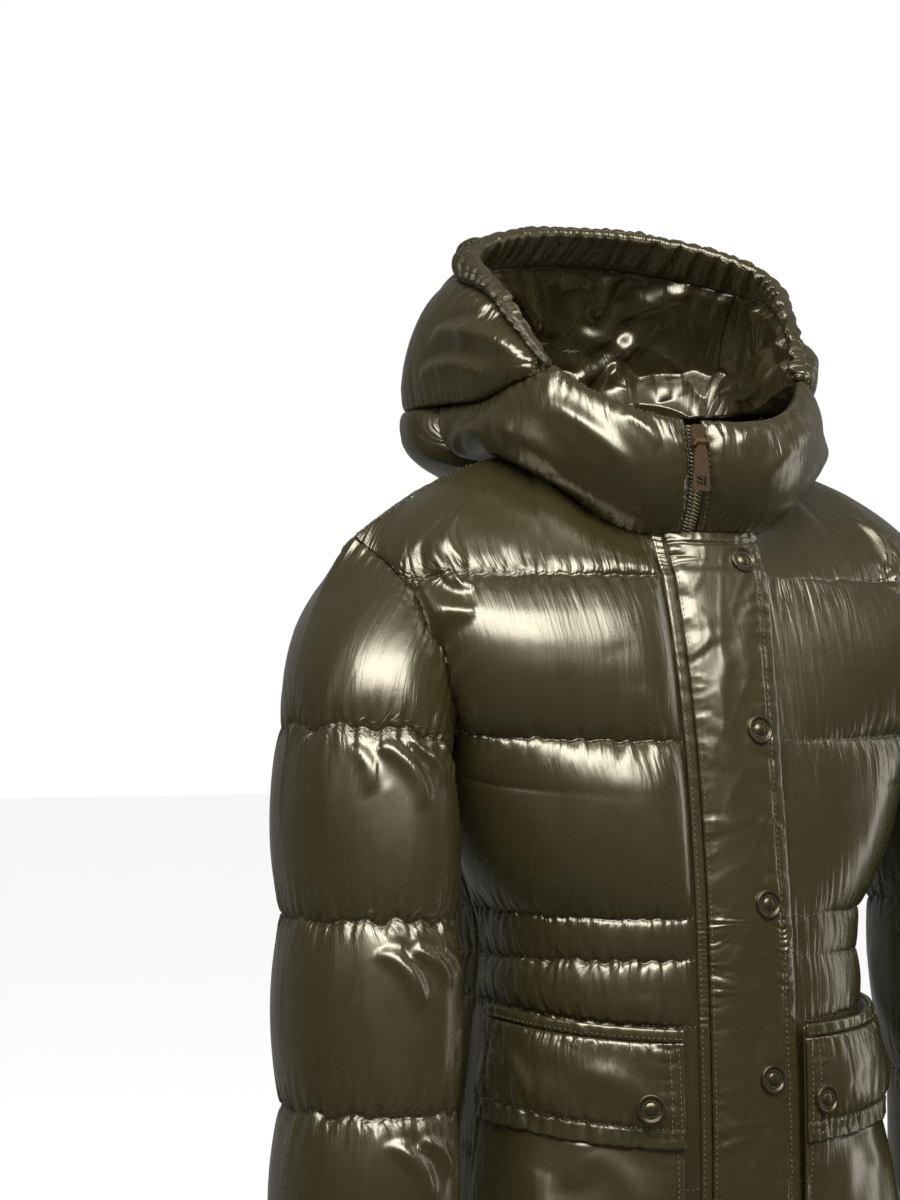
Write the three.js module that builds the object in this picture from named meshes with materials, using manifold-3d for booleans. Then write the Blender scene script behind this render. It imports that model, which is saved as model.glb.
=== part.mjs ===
// Hooded padded parka, hollow and filled out as it is when worn. Millimetres, +Z up.
// The origin is the centre of the neck's base. -Y is the wearer's front, -X the wearer's right.
// Every padded piece is a wall: a plain inside, and an outside that swells between its seams.
import * as THREE from "three";
import { mergeVertices } from "three/addons/utils/BufferGeometryUtils.js";
import Module from "manifold-3d";

const WALL = 2.5; // two shells and the batting, where a seam pinches them
const SEAM_GAP = 0.2; // each piece stops this far short of a seam
const LAYER_GAP = 0.35; // between a piece and one that lies on it
const PRESS_GAP = 0.3; // between padded pieces that press on each other

// Body: half width and depths of the shell at its seams, by height.
const BODY = [
  { z: -600, side: 140, front: 124, back: 108 },
  { z: -505, side: 138, front: 126, back: 108 },
  { z: -400, side: 131, front: 128, back: 104 },
  { z: -321, side: 120, front: 126, back: 98 },
  { z: -282, side: 116, front: 124, back: 96 },
  { z: -258, side: 119, front: 123, back: 97 },
  { z: -213, side: 134, front: 118, back: 101 },
  { z: -155, side: 150, front: 110, back: 105 },
  { z: -100, side: 165, front: 98, back: 100 },
  { z: -56, side: 175, front: 85, back: 88 },
];
const SIDE_Y = -5; // the side seam
// The section's shape: 1 is an ellipse, less is squarer. It is rounder beside the armholes.
const SECTION = [
  { z: -600, power: 0.76 },
  { z: -190, power: 0.76 },
  { z: -130, power: 0.95 },
  { z: -56, power: 1 },
];

// Armhole, by the share of the way from the underarm to the shoulder point.
const ARMHOLE_FRONT = [
  { share: 0, x: 150, y: -5, z: -160 },
  { share: 0.1, x: 151, y: -28, z: -157 },
  { share: 0.3, x: 158, y: -60, z: -138 },
  { share: 0.53, x: 170, y: -66, z: -98 },
  { share: 0.76, x: 185, y: -46, z: -60 },
  { share: 1, x: 200, y: -8, z: -33 },
];
const ARMHOLE_BACK = [
  { share: 0, x: 150, y: -5, z: -160 },
  { share: 0.1, x: 151, y: 18, z: -157 },
  { share: 0.3, x: 158, y: 46, z: -138 },
  { share: 0.53, x: 171, y: 58, z: -98 },
  { share: 0.76, x: 187, y: 38, z: -60 },
  { share: 1, x: 200, y: -8, z: -33 },
];
const SIDE_SEAM = 440; // hem to underarm
const ARMHOLE = 204; // underarm to shoulder point

// Quilting seams: height at the centre, and length up the side seam and on round the armhole.
// front and back are the padding's height over the row above each seam, steps its mesh rows.
// The fronts are thin where the pockets lie on them.
const QUILTING = [
  { centre: -600, edge: 0, front: 16, back: 16, steps: 4 },
  { centre: -505, edge: 98, front: 4, back: 15, steps: 4 },
  { centre: -415, edge: 203, front: 4, back: 15, steps: 4 },
  { centre: -321, edge: 292, front: 8, back: 8, steps: 3 },
  { centre: -282, edge: 318, front: 6, back: 6, steps: 3 },
  { centre: -258, edge: 346, front: 19, back: 17, steps: 5 },
  { centre: -155, edge: 485, front: 18, back: 16, steps: 5 },
  { centre: -56, edge: 595, front: 12, back: 12, steps: 4 },
  { centre: -32, edge: 644, front: 0, back: 0, steps: 0 },
];
const BODY_STEPS = 8; // across a quarter of the body
const SIDE_REACH = 0.1; // padding falls to the side seam over this share of a panel
const ARMHOLE_REACH = 0.3;
// Share of the padding's height left beside a panel's edge. The arm presses it flat.
const EDGE_PUFF = [
  { edge: 0, share: 0.62 },
  { edge: 370, share: 0.6 },
  { edge: 425, share: 0.05 },
  { edge: 485, share: 0.05 },
  { edge: 540, share: 0.3 },
  { edge: 644, share: 0.5 },
];

// Neck seam: half width, and where it meets the centre front, the shoulder and the nape.
const NECK = { side: 84, y: 2, front: -75, back: 70, frontZ: -32, sideZ: 24, backZ: -5 };
const NECK_SHARE = 0.4; // of a yoke's top edge, the rest is the shoulder seam
const SHOULDER = { x: 200, y: -8, z: -33, arch: 6 };
const SHOULDER_ROOT = -60; // above this height the shell turns in over the shoulders

// Sleeve: centre, half width and half depth of its seam rings. It hangs a little forward.
const SLEEVE = [
  { z: -548, x: 218, y: -70, wide: 36, deep: 41 },
  { z: -525, x: 217, y: -67, wide: 40, deep: 46 },
  { z: -470, x: 215, y: -61, wide: 47, deep: 54 },
  { z: -364, x: 208, y: -53, wide: 49, deep: 58 },
  { z: -256, x: 202, y: -40, wide: 49, deep: 59 },
  { z: -146, x: 197, y: -26, wide: 49, deep: 57 },
];
const SLEEVE_ROWS = [
  { top: -146, bottom: -256, puff: 12.5, steps: 5 },
  { top: -256, bottom: -364, puff: 12.5, steps: 5 },
  { top: -364, bottom: -470, puff: 12.5, steps: 5 },
  { top: -470, bottom: -524, puff: 7, steps: 4 },
];
const PRESSED = 11; // the sleeve is this much flatter where it lies along the body
const CAP_ROW = { puff: 6, steps: 5 };
const CAP_DROP = 25; // the first seam ring is this much lower under the arm
const SLEEVE_SIDES = 16;
const CUFF = { top: -524.2, bottom: -548, puff: 2, steps: 3 };

// Hood: each rib rises from the neck seam through a low and a high point to the face opening.
// turn is the angle round the neck from the centre front.
const HOOD_LOW = [
  { turn: 0, x: 0, y: -88, z: -12 },
  { turn: 30, x: 50, y: -81, z: -7 },
  { turn: 60, x: 91, y: -50, z: 13 },
  { turn: 90, x: 111, y: 5, z: 35 },
  { turn: 120, x: 115, y: 77, z: 32 },
  { turn: 150, x: 66, y: 112, z: 28 },
  { turn: 180, x: 0, y: 122, z: 24 },
];
const HOOD_HIGH = [
  { turn: 0, x: 0, y: -95, z: 13 },
  { turn: 30, x: 53, y: -85, z: 21 },
  { turn: 60, x: 91, y: -52, z: 44 },
  { turn: 90, x: 107, y: 4, z: 84 },
  { turn: 120, x: 113, y: 74, z: 92 },
  { turn: 150, x: 64, y: 108, z: 98 },
  { turn: 180, x: 0, y: 122, z: 101 },
];
const HOOD_RIM = [
  { turn: 0, x: 0, y: -93, z: 37 },
  { turn: 30, x: 49, y: -82, z: 43 },
  { turn: 60, x: 86, y: -50, z: 70 },
  { turn: 90, x: 104, y: -9, z: 121 },
  { turn: 120, x: 103, y: 22, z: 147 },
  { turn: 150, x: 63, y: 43, z: 164 },
  { turn: 180, x: 0, y: 50, z: 169 },
];
// Share of each rib below the seam over the chin part and the nape.
const BAND = [
  { turn: 0, top: 1 },
  { turn: 59, top: 1 },
  { turn: 63, top: 0.88 },
  { turn: 70, top: 0.72 },
  { turn: 80, top: 0.55 },
  { turn: 90, top: 0.46 },
  { turn: 110, top: 0.45 },
  { turn: 180, top: 0.46 },
];
const COLLAR_END = 96; // turn of the seam between the chin part and the nape
const CASING_START = 63.5; // turn of the casing's lower ends
const HOOD_SEAM = 124; // turn of the seam between the side and the centre
const CROWN_SEAM = 0.68; // share of a rib where the centre is quilted across
const CASING_FROM = 0.9; // share of a rib where the casing starts
const CASING = { puff: 6, wave: 2.4, waves: 34, samples: 3 };
const HOOD_PUFF = { collar: 14, nape: 16, side: 19, centre: 16 };
const RESTS = 1; // share of the padding pressed away where the hood rests on the yoke

// Closure. The zip is a little to the wearer's right. The placket is sewn to the right front and
// snaps over the left, and its free edge draws in at the waist.
const ZIP = { neck: -11, chin: -17, half: 5, thick: 2.2, top: 0.95 };
const CENTRE_GAP = 5.6; // half the gap that the zip chain fills
const PLACKET = { right: -26, top: -36, bottom: -596, thick: 3.5, puff: 2.5 };
const PLACKET_EDGE = [
  { z: -600, x: 34 },
  { z: -415, x: 33 },
  { z: -300, x: 31 },
  { z: -190, x: 30 },
  { z: -130, x: 32 },
  { z: -70, x: 37 },
  { z: -36, x: 40 },
];
const EDGE_STRIP = { right: -33.5, left: -26.5, thick: 1.6 };
const FLAT = 1.5; // the fronts lie flat this far past the placket and its strip
const SNAP = { radius: 7.8, thick: 2.6, inset: 20, top: -47, pitch: 101.5, count: 6, clear: 0.8 };

// Pockets, by height and by distance from the centre front. The left one starts nearer.
const POCKET = { top: -323, bottom: -503, outer: 0.9, thick: 2.2, puff: 11 };
const MOUTH_STRIP = { top: -322, bottom: -329.5, thick: 2 };
const FLAP = { top: -330, bottom: -391, border: 12, thick: 2.2, puff: 8 };
const POCKET_INNER = { right: 46, left: 34 };
const FLAP_SNAP = { right: 65, left: 43.5, z: -368 };
const ON_FRONT = 5.4; // from the front's shell to a pocket's inside, over the front's padding
const ON_POCKET = ON_FRONT + POCKET.thick + LAYER_GAP;

// Slider and pull tab. Both are drawn round the pin that the tab turns on.
const SLIDER = { share: 0.8, thick: 2, lean: 0.1, ear: 1.3, earGap: 3.1, earRadius: 2.4 };
const SLIDER_OUTLINE = [
  { half: 3.4, z: 10.5 },
  { half: 4.6, z: 7 },
  { half: 4.2, z: -3 },
  { half: 3.2, z: -5.5 },
];
const PIN = { radius: 0.9, out: 3.2 };
const TAB = { thick: 1.6, knuckle: 2.1, bore: 0.96 };
const TAB_OUTLINE = [
  { half: 2.7, z: -1.3 },
  { half: 2.7, z: -3.4 },
  { half: 4.1, z: -5 },
  { half: 6.2, z: -27.6 },
  { half: 5.4, z: -29.5 },
];
const TAB_WINDOW = { half: 3.4, low: -26.6, high: -20.6 };

const NYLON = { color: 0x3f3926, roughness: 0.28, metalness: 0 };
const STRAP = { color: 0x45402b, roughness: 0.34, metalness: 0 };
const SNAP_METAL = { color: 0x4b462f, roughness: 0.35, metalness: 0.7 };
const ZIP_METAL = { color: 0xa9745a, roughness: 0.25, metalness: 1 };
const CHAIN = { color: 0x3a3526, roughness: 0.5, metalness: 0.2 };

const part = new THREE.Group();
const wasm = await Module();
wasm.setup();

const clamp = THREE.MathUtils.clamp;
const lerp = THREE.MathUtils.lerp;
const at = (x, y, z) => new THREE.Vector3(x, y, z);
const mirrored = (point) => at(-point.x, point.y, point.z);
const mirrorGrid = (grid) => grid.map((row) => row.map(mirrored));
const mirroredGrids = ({ outer, inner }) => ({ outer: mirrorGrid(outer), inner: mirrorGrid(inner) });
const steps = (count) => Array.from({ length: count + 1 }, (_, i) => i / count);
const between = (from, to, shares) => shares.map((share) => lerp(from, to, share));

// Shares from 0 to 1 that lie closer together at both ends, where padding is roundest.
const cushionSteps = (count) => steps(count).map((t) => (1 - Math.cos(Math.PI * t)) / 2);

// How padding swells: up from 0 at a seam, round over the middle.
const pillow = (t) => Math.pow(clamp(4 * t * (1 - t), 0, 1), 0.6);
const swell = (distance, reach) => Math.sqrt(1 - Math.pow(1 - clamp(distance / reach, 0, 1), 2));

function add(name, geometry, look) {
  const mesh = new THREE.Mesh(geometry, new THREE.MeshStandardMaterial(look));
  mesh.name = name;
  part.add(mesh);
  return mesh;
}

// A smooth function through one column of a table, by its key column.
function column(table, key, name) {
  const rows = [...table].sort((a, b) => a[key] - b[key]);
  const last = rows.length - 1;
  const slope = rows.map((row, i) => {
    const before = rows[Math.max(i - 1, 0)];
    const after = rows[Math.min(i + 1, last)];
    return (after[name] - before[name]) / (after[key] - before[key]);
  });
  return (value) => {
    const x = clamp(value, rows[0][key], rows[last][key]);
    let i = 0;
    while (i < last - 1 && x > rows[i + 1][key]) i += 1;
    const span = rows[i + 1][key] - rows[i][key];
    const t = (x - rows[i][key]) / span;
    const ends = lerp(rows[i][name], rows[i + 1][name], t * t * (3 - 2 * t));
    return ends + span * t * (1 - t) * (slope[i] * (1 - t) - slope[i + 1] * t);
  };
}

function spaceCurve(table, key, x, y, z) {
  const along = [x, y, z].map((name) => column(table, key, name));
  return (value) => at(along[0](value), along[1](value), along[2](value));
}

// Normal of a surface of two parameters.
function normalOf(surface, u, v) {
  const step = 0.002;
  const across = surface(u + step, v).sub(surface(u - step, v));
  const up = surface(u, v + step).sub(surface(u, v - step));
  return across.cross(up).normalize();
}

// Outer and inner grids of a piece. place gives a point of its shell, the way out there, and how
// far the piece reaches out (high) and in (low).
function grids(rows, columns, place) {
  const spots = rows.map((row) => columns.map((each) => place(row, each)));
  const outward = ({ point, out, high }) => point.clone().addScaledVector(out, high);
  const inward = ({ point, out, through, low }) => point.clone().addScaledVector(through ?? out, low);
  return {
    outer: spots.map((row) => row.map(outward)),
    inner: spots.map((row) => row.map(inward)),
  };
}

// Pulls the points along a grid's edges a little way in, to leave the seam gap.
function trim(grid, ring) {
  const pull = (edge, next) => edge.lerp(next, Math.min(0.45, SEAM_GAP / edge.distanceTo(next)));
  const last = grid.length - 1;
  grid[0].forEach((point, j) => pull(point, grid[1][j]));
  grid[last].forEach((point, j) => pull(point, grid[last - 1][j]));
  if (ring) return;
  for (const row of grid) {
    pull(row[0], row[1]);
    pull(row[row.length - 1], row[row.length - 2]);
  }
}

// A closed wall between an outer and an inner grid. A ring's rows close on themselves.
function wall({ outer, inner }, ring = false) {
  trim(outer, ring);
  trim(inner, ring);
  const rows = outer.length;
  const wide = outer[0].length;
  const points = [...outer.flat(), ...inner.flat()];
  const index = (side, i, j) => side * rows * wide + i * wide + (j % wide);
  const faces = [];
  const quad = (a, b, c, d) => faces.push(a, b, c, a, c, d);
  const top = rows - 1;
  const end = wide - 1;
  for (let j = 0; j < (ring ? wide : end); j += 1) {
    for (let i = 0; i < top; i += 1) {
      quad(index(0, i, j), index(0, i, j + 1), index(0, i + 1, j + 1), index(0, i + 1, j));
      quad(index(1, i, j), index(1, i + 1, j), index(1, i + 1, j + 1), index(1, i, j + 1));
    }
    quad(index(1, 0, j), index(1, 0, j + 1), index(0, 0, j + 1), index(0, 0, j));
    quad(index(0, top, j), index(0, top, j + 1), index(1, top, j + 1), index(1, top, j));
  }
  for (let i = 0; i < top && !ring; i += 1) {
    quad(index(0, i, 0), index(0, i + 1, 0), index(1, i + 1, 0), index(1, i, 0));
    quad(index(1, i, end), index(1, i + 1, end), index(0, i + 1, end), index(0, i, end));
  }
  return facingOut(points, faces);
}

// The geometry of a closed body, turned so that its faces look outward.
function facingOut(points, faces) {
  let volume = 0;
  for (let i = 0; i < faces.length; i += 3) {
    const [a, b, c] = [points[faces[i]], points[faces[i + 1]], points[faces[i + 2]]];
    volume += a.dot(b.clone().cross(c));
  }
  const geometry = new THREE.BufferGeometry().setFromPoints(points);
  geometry.setIndex(volume < 0 ? [...faces].reverse() : faces);
  geometry.computeVertexNormals();
  return geometry;
}

function manifoldOf(geometry) {
  const bare = geometry.clone();
  bare.deleteAttribute("normal");
  bare.deleteAttribute("uv");
  const merged = mergeVertices(bare, 1e-4);
  const vertProperties = new Float32Array(merged.attributes.position.array);
  const triVerts = new Uint32Array(merged.index.array);
  return new wasm.Manifold(new wasm.Mesh({ numProp: 3, vertProperties, triVerts }));
}

function geometryOf(manifold) {
  const { vertProperties, triVerts } = manifold.getMesh();
  const geometry = new THREE.BufferGeometry();
  geometry.setAttribute("position", new THREE.BufferAttribute(new Float32Array(vertProperties), 3));
  geometry.setIndex([...triVerts]);
  geometry.computeVertexNormals();
  return geometry;
}

// The room a piece takes up, with a gap round it, for pieces that lie against it.
function roomOf(geometry) {
  const points = geometry.attributes.position;
  const normals = geometry.attributes.normal;
  const swollen = geometry.clone();
  for (let i = 0; i < points.count; i += 1) {
    const point = at(0, 0, 0).fromBufferAttribute(points, i);
    point.addScaledVector(at(0, 0, 0).fromBufferAttribute(normals, i), PRESS_GAP);
    swollen.attributes.position.setXYZ(i, point.x, point.y, point.z);
  }
  return manifoldOf(swollen).add(manifoldOf(geometry));
}

// A piece pressed clear of the ones it lies against.
function pressedBy(geometry, neighbours) {
  const rooms = neighbours.map((each) => roomOf(each.geometry));
  const cut = rooms.reduce((rest, room) => rest.subtract(room), manifoldOf(geometry));
  const bodies = cut.decompose().sort((a, b) => b.volume() - a.volume());
  return geometryOf(bodies[0]);
}

function addBothSides(name, make, look, ring = false) {
  add(`${name}_left`, wall(make(), ring), look);
  add(`${name}_right`, wall(mirroredGrids(make()), ring), look);
}

const named = (name) => part.getObjectByName(name);

// Presses a left and a right piece clear of their neighbours, which are named without their side.
function pressBothSides(name, ...neighbours) {
  for (const side of ["left", "right"]) {
    const piece = named(`${name}_${side}`);
    const beside = neighbours.map((each) => named(`${each}_${side}`) ?? named(each));
    piece.geometry = pressedBy(piece.geometry, beside);
  }
}

// ---- Body ----

const bodySide = column(BODY, "z", "side");
const sectionPower = column(SECTION, "z", "power");
const bodyDepth = { front: column(BODY, "z", "front"), back: column(BODY, "z", "back") };
const armhole = {
  front: spaceCurve(ARMHOLE_FRONT, "share", "x", "y", "z"),
  back: spaceCurve(ARMHOLE_BACK, "share", "x", "y", "z"),
};
const edgePuff = column(EDGE_PUFF, "edge", "share");
const placketEdge = column(PLACKET_EDGE, "z", "x");
const YOKE = QUILTING.length - 2; // the level of the yoke seam
const TOP = QUILTING.length - 1;

// A column of the quilting table at a level, which counts its seams from the hem up.
function seamValue(level, name) {
  const row = clamp(Math.floor(level), 0, TOP - 1);
  return lerp(QUILTING[row][name], QUILTING[row + 1][name], level - row);
}

function levelOf(z) {
  const row = QUILTING.findIndex((seam) => z <= seam.centre) - 1;
  const low = QUILTING[row].centre;
  return row + (z - low) / (QUILTING[row + 1].centre - low);
}

// A point on the edge of a front or back: up the side seam, then round the armhole.
function edgePoint(panel, length) {
  if (length > SIDE_SEAM) return armhole[panel](Math.min(1, (length - SIDE_SEAM) / ARMHOLE));
  const z = BODY[0].z + length;
  return at(bodySide(z), SIDE_Y, z);
}

// A point of the neck seam, by the angle round it from the centre front.
function neckPoint(turn) {
  const angle = THREE.MathUtils.degToRad(turn);
  const reach = turn < 90 ? NECK.y - NECK.front : NECK.back - NECK.y;
  const start = turn < 90 ? NECK.frontZ : NECK.backZ;
  const share = Math.abs(Math.cos(angle));
  const z = lerp(NECK.sideZ, start, share * share * (3 - 2 * share));
  return at(NECK.side * Math.sin(angle), NECK.y - reach * Math.cos(angle), z);
}

// The yoke's top edge: the neck seam, then the shoulder seam.
function yokeTop(panel, u) {
  if (u <= NECK_SHARE) {
    const turn = (90 * u) / NECK_SHARE;
    return neckPoint(panel === "front" ? turn : 180 - turn);
  }
  const share = (u - NECK_SHARE) / (1 - NECK_SHARE);
  const z = lerp(NECK.sideZ, SHOULDER.z, share) + SHOULDER.arch * Math.sin(Math.PI * share);
  return at(lerp(NECK.side, SHOULDER.x, share), lerp(NECK.y, SHOULDER.y, share), z);
}

// The body's shell up to the yoke seam. u runs from the centre to the edge.
function bodySection(panel, u, level) {
  const z = seamValue(level, "centre");
  const edge = edgePoint(panel, seamValue(level, "edge"));
  const centreY = panel === "front" ? -bodyDepth.front(z) : bodyDepth.back(z);
  const share = clamp(u, 0, 1);
  const power = sectionPower(z);
  const out = Math.pow(Math.sin((share * Math.PI) / 2), power);
  const forward = Math.pow(Math.cos((share * Math.PI) / 2), power);
  return at(edge.x * out, lerp(edge.y, centreY, forward), lerp(z, edge.z, Math.pow(share, 1.5)));
}

// The yoke bends from the body's front or back over to the shoulder seam.
function yokeSection(panel, u, share) {
  const low = bodySection(panel, u, YOKE);
  const high = yokeTop(panel, u);
  const reach = low.distanceTo(high) / 3;
  const back = panel === "front" ? 1 : -1;
  const neck = clamp(2 - 2 * u, 0, 1); // straighter where the hood rests on it
  const rise = at(0, lerp(0.4, 0.55, neck) * back, lerp(0.9, 0.6, neck));
  const first = low.clone().addScaledVector(rise, reach);
  const flat = lerp(0.5, 0.85, Math.min(1, u / NECK_SHARE));
  const second = high.clone().addScaledVector(at(0, -flat * back, flat - 1.3), reach);
  return new THREE.CubicBezierCurve3(low, first, second, high).getPoint(share);
}

function bodySurface(panel, across, up) {
  const u = clamp(across, 0, 1);
  const level = clamp(up, 0, TOP);
  if (level <= YOKE) return bodySection(panel, u, level);
  const share = level - YOKE;
  const off = edgePoint(panel, seamValue(level, "edge")).sub(yokeSection(panel, 1, share));
  return yokeSection(panel, u, share).addScaledVector(off, Math.pow(u, 6));
}

// The share u at which a front's or back's shell is so far from the centre.
function shareAt(panel, level, x) {
  let low = 0;
  let high = 1;
  for (let i = 0; i < 30; i += 1) {
    const middle = (low + high) / 2;
    if (bodySurface(panel, middle, level).x < x) low = middle;
    else high = middle;
  }
  return low;
}

// The wall's thickness runs toward the middle of the body, alike on both sides of each seam.
function bodySpot(panel, u, level) {
  const surface = (a, b) => bodySurface(panel, a, b);
  const out = normalOf(surface, clamp(u, 0.003, 0.997), clamp(level, 0.003, TOP - 0.003));
  const point = surface(u, level);
  const through = at(point.x * 0.45, point.y, Math.max(0, point.z - SHOULDER_ROOT)).normalize();
  return { point, out: panel === "front" ? out : out.negate(), through };
}

// Height of the padding on a front or back: none at seams, less at the side and beside the
// armhole, flat at the centre, and pressed down where the hood rests on the yoke.
function bodyPuff(panel, u, level, flat) {
  const row = clamp(Math.floor(level), 0, TOP - 1);
  const reach = seamValue(level, "edge") > SIDE_SEAM ? ARMHOLE_REACH : SIDE_REACH;
  const pressed = edgePuff(seamValue(level, "edge"));
  const side = lerp(pressed, 1, swell(1 - u, 0.45)) * swell(1 - u, reach);
  const centre = flat > 0 ? swell(bodySurface(panel, u, level).x - flat, 34) : 1;
  const underHood = clamp(level - YOKE, 0, 1) * clamp(3 - 5 * u, 0, 1);
  return QUILTING[row][panel] * pillow(level - row) * side * centre * (1 - underHood);
}

function bodyLevels() {
  const rows = QUILTING.slice(0, -1).flatMap((row, i) => {
    return cushionSteps(row.steps).slice(0, -1).map((t) => i + t);
  });
  return [...rows, TOP];
}

// A front from the zip to its edge, built as a left one. It is flat as far as flatTo says.
function frontGrids(zipX, flatTo) {
  const shares = cushionSteps(BODY_STEPS);
  const place = (level, j) => {
    if (j === 0) return { ...frontSpot(zipX, level), high: 0, low: -WALL };
    const flat = flatTo(seamValue(level, "centre"));
    const u = lerp(shareAt("front", level, flat), 1, shares[j - 1]);
    return { ...bodySpot("front", u, level), high: bodyPuff("front", u, level, flat), low: -WALL };
  };
  return grids(bodyLevels(), [...Array(BODY_STEPS + 2).keys()], place);
}

// A front's shell and its way out, at a signed distance from the centre.
function frontSpot(x, level) {
  const spot = bodySpot("front", shareAt("front", level, Math.abs(x)), level);
  return x < 0 ? mirroredSpot(spot) : spot;
}

function mirroredSpot({ point, out, through }) {
  return { point: mirrored(point), out: mirrored(out), through: mirrored(through) };
}

function makeBody() {
  const left = frontGrids(ZIP.neck + CENTRE_GAP, (z) => placketEdge(z) + FLAT);
  add("front_left", wall(left), NYLON);
  const right = frontGrids(CENTRE_GAP - ZIP.neck, () => FLAT - EDGE_STRIP.right);
  add("front_right", wall(mirroredGrids(right)), NYLON);
  const shares = steps(BODY_STEPS + 1);
  const columns = [...shares.slice(1).reverse().map((u) => -u), ...shares];
  const place = (level, u) => {
    const spot = bodySpot("back", Math.abs(u), level);
    const high = bodyPuff("back", Math.abs(u), level, 0);
    return { ...(u < 0 ? mirroredSpot(spot) : spot), high, low: -WALL };
  };
  add("back", wall(grids(bodyLevels(), columns, place)), NYLON);
}

// ---- Sleeves ----

const sleeveColumns = ["x", "y", "wide", "deep"].map((name) => [name, column(SLEEVE, "z", name)]);
const sleeveAt = Object.fromEntries(sleeveColumns);
const CAP_Z = SLEEVE_ROWS[0].top;

// A sleeve ring. The angle runs from the outside over the front to the underside.
function sleevePoint(angle, height) {
  const z = Math.min(height, CAP_Z);
  const [out, forward] = [Math.cos(angle), Math.sin(angle)];
  const inside = Math.max(0, -out);
  const x = sleeveAt.x(z) + sleeveAt.wide(z) * out + PRESSED * inside * inside;
  const y = sleeveAt.y(z) - sleeveAt.deep(z) * Math.sign(forward) * Math.pow(Math.abs(forward), 0.9);
  const fade = clamp((z - SLEEVE_ROWS[1].top) / (CAP_Z - SLEEVE_ROWS[1].top), 0, 1);
  return at(x, y, z - CAP_DROP * fade * Math.pow((1 - out) / 2, 3));
}

function armholePoint(angle) {
  const turn = THREE.MathUtils.euclideanModulo(angle, 2 * Math.PI) / Math.PI;
  return turn <= 1 ? armhole.front(1 - turn) : armhole.back(turn - 1);
}

// The cap leaves the armhole sideways and bends down to the first ring.
function capPoint(angle, share) {
  const low = sleevePoint(angle, CAP_Z);
  const high = armholePoint(angle);
  const reach = low.distanceTo(high);
  const aside = Math.abs(Math.sin(angle));
  const leave = at(0.5 + 0.4 * aside, -0.12 * Math.sin(angle), 0.5 * aside - 0.8).normalize();
  const first = high.clone().addScaledVector(leave, reach * 0.3);
  const second = low.clone().addScaledVector(at(0, 0, 1), reach * 0.35);
  return new THREE.CubicBezierCurve3(high, first, second, low).getPoint(clamp(share, 0, 1));
}

// Rows of a sleeve from a seam down to the next one, between two shares of the padding's rise.
function sleeveRow(row, surface) {
  return cushionSteps(row.steps).map((t) => ({ surface, t, high: row.puff * pillow(t) }));
}

function tubeRow(row) {
  return sleeveRow(row, (angle, t) => sleevePoint(angle, lerp(row.top, row.bottom, t)));
}

function sleeveGrids(rows) {
  const angles = between(0, 2 * Math.PI, steps(SLEEVE_SIDES).slice(0, -1));
  return grids(rows, angles, (row, angle) => {
    const out = normalOf(row.surface, angle, clamp(row.t, 0.003, 0.997));
    const underside = Math.pow(Math.max(0, -Math.cos(angle)), 2);
    return { point: row.surface(angle, row.t), out, high: row.high * (1 - 0.6 * underside), low: -WALL };
  });
}

function makeSleeves() {
  const below = SLEEVE_ROWS.flatMap((row) => tubeRow(row).slice(1));
  const arm = [...sleeveRow(CAP_ROW, capPoint), ...below];
  addBothSides("sleeve", () => sleeveGrids(arm), NYLON, true);
  addBothSides("cuff", () => sleeveGrids(tubeRow(CUFF)), STRAP, true);
}

// ---- Hood ----

// A hood table carried on round the other side, so that it is smooth at front and back.
function allRound(table) {
  const over = (row, turn) => ({ ...row, x: -row.x, turn });
  const before = table.slice(1).map((row) => over(row, -row.turn));
  const after = table.slice(0, -1).map((row) => over(row, 360 - row.turn));
  return [...before, ...table, ...after];
}

const ribCurve = (table) => spaceCurve(allRound(table), "turn", "x", "y", "z");
const hoodLow = ribCurve(HOOD_LOW);
const hoodHigh = ribCurve(HOOD_HIGH);
const hoodRim = ribCurve(HOOD_RIM);
const bandColumn = column(allRound(BAND), "turn", "top");
const bandTop = (turn) => Math.min(1, bandColumn(turn));

function neckAround(turn) {
  if (turn < 0) return mirrored(neckPoint(-turn));
  return turn <= 180 ? neckPoint(turn) : mirrored(neckPoint(360 - turn));
}

// A rib of the hood: the cubic through its four points, from neck (0) to face opening (1).
function hoodPoint(turn, t) {
  const s = t * 3;
  return at(0, 0, 0)
    .addScaledVector(neckAround(turn), -((s - 1) * (s - 2) * (s - 3)) / 6)
    .addScaledVector(hoodLow(turn), (s * (s - 2) * (s - 3)) / 2)
    .addScaledVector(hoodHigh(turn), -(s * (s - 1) * (s - 3)) / 2)
    .addScaledVector(hoodRim(turn), (s * (s - 1) * (s - 2)) / 6);
}

// Padding on the hood swells outward and never down, because the hood rests over the yoke.
function hoodSpot(turn, t) {
  const surface = (a, b) => hoodPoint(a * 90, b);
  const through = normalOf(surface, turn / 90, clamp(t, 0.003, 0.997));
  const out = at(through.x, through.y, Math.max(through.z, 0)).normalize();
  return { point: hoodPoint(turn, t), out, through };
}

// The zip leans a little to the wearer's right as it rises over the chin.
const zipX = (t) => lerp(ZIP.neck, ZIP.chin, t);

// The turn at which a rib's point is so far to the left of the centre.
function turnAt(x, t) {
  let low = -30;
  let high = 30;
  for (let i = 0; i < 30; i += 1) {
    const middle = (low + high) / 2;
    if (hoodPoint(middle, t).x < x) low = middle;
    else high = middle;
  }
  return low;
}

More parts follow.
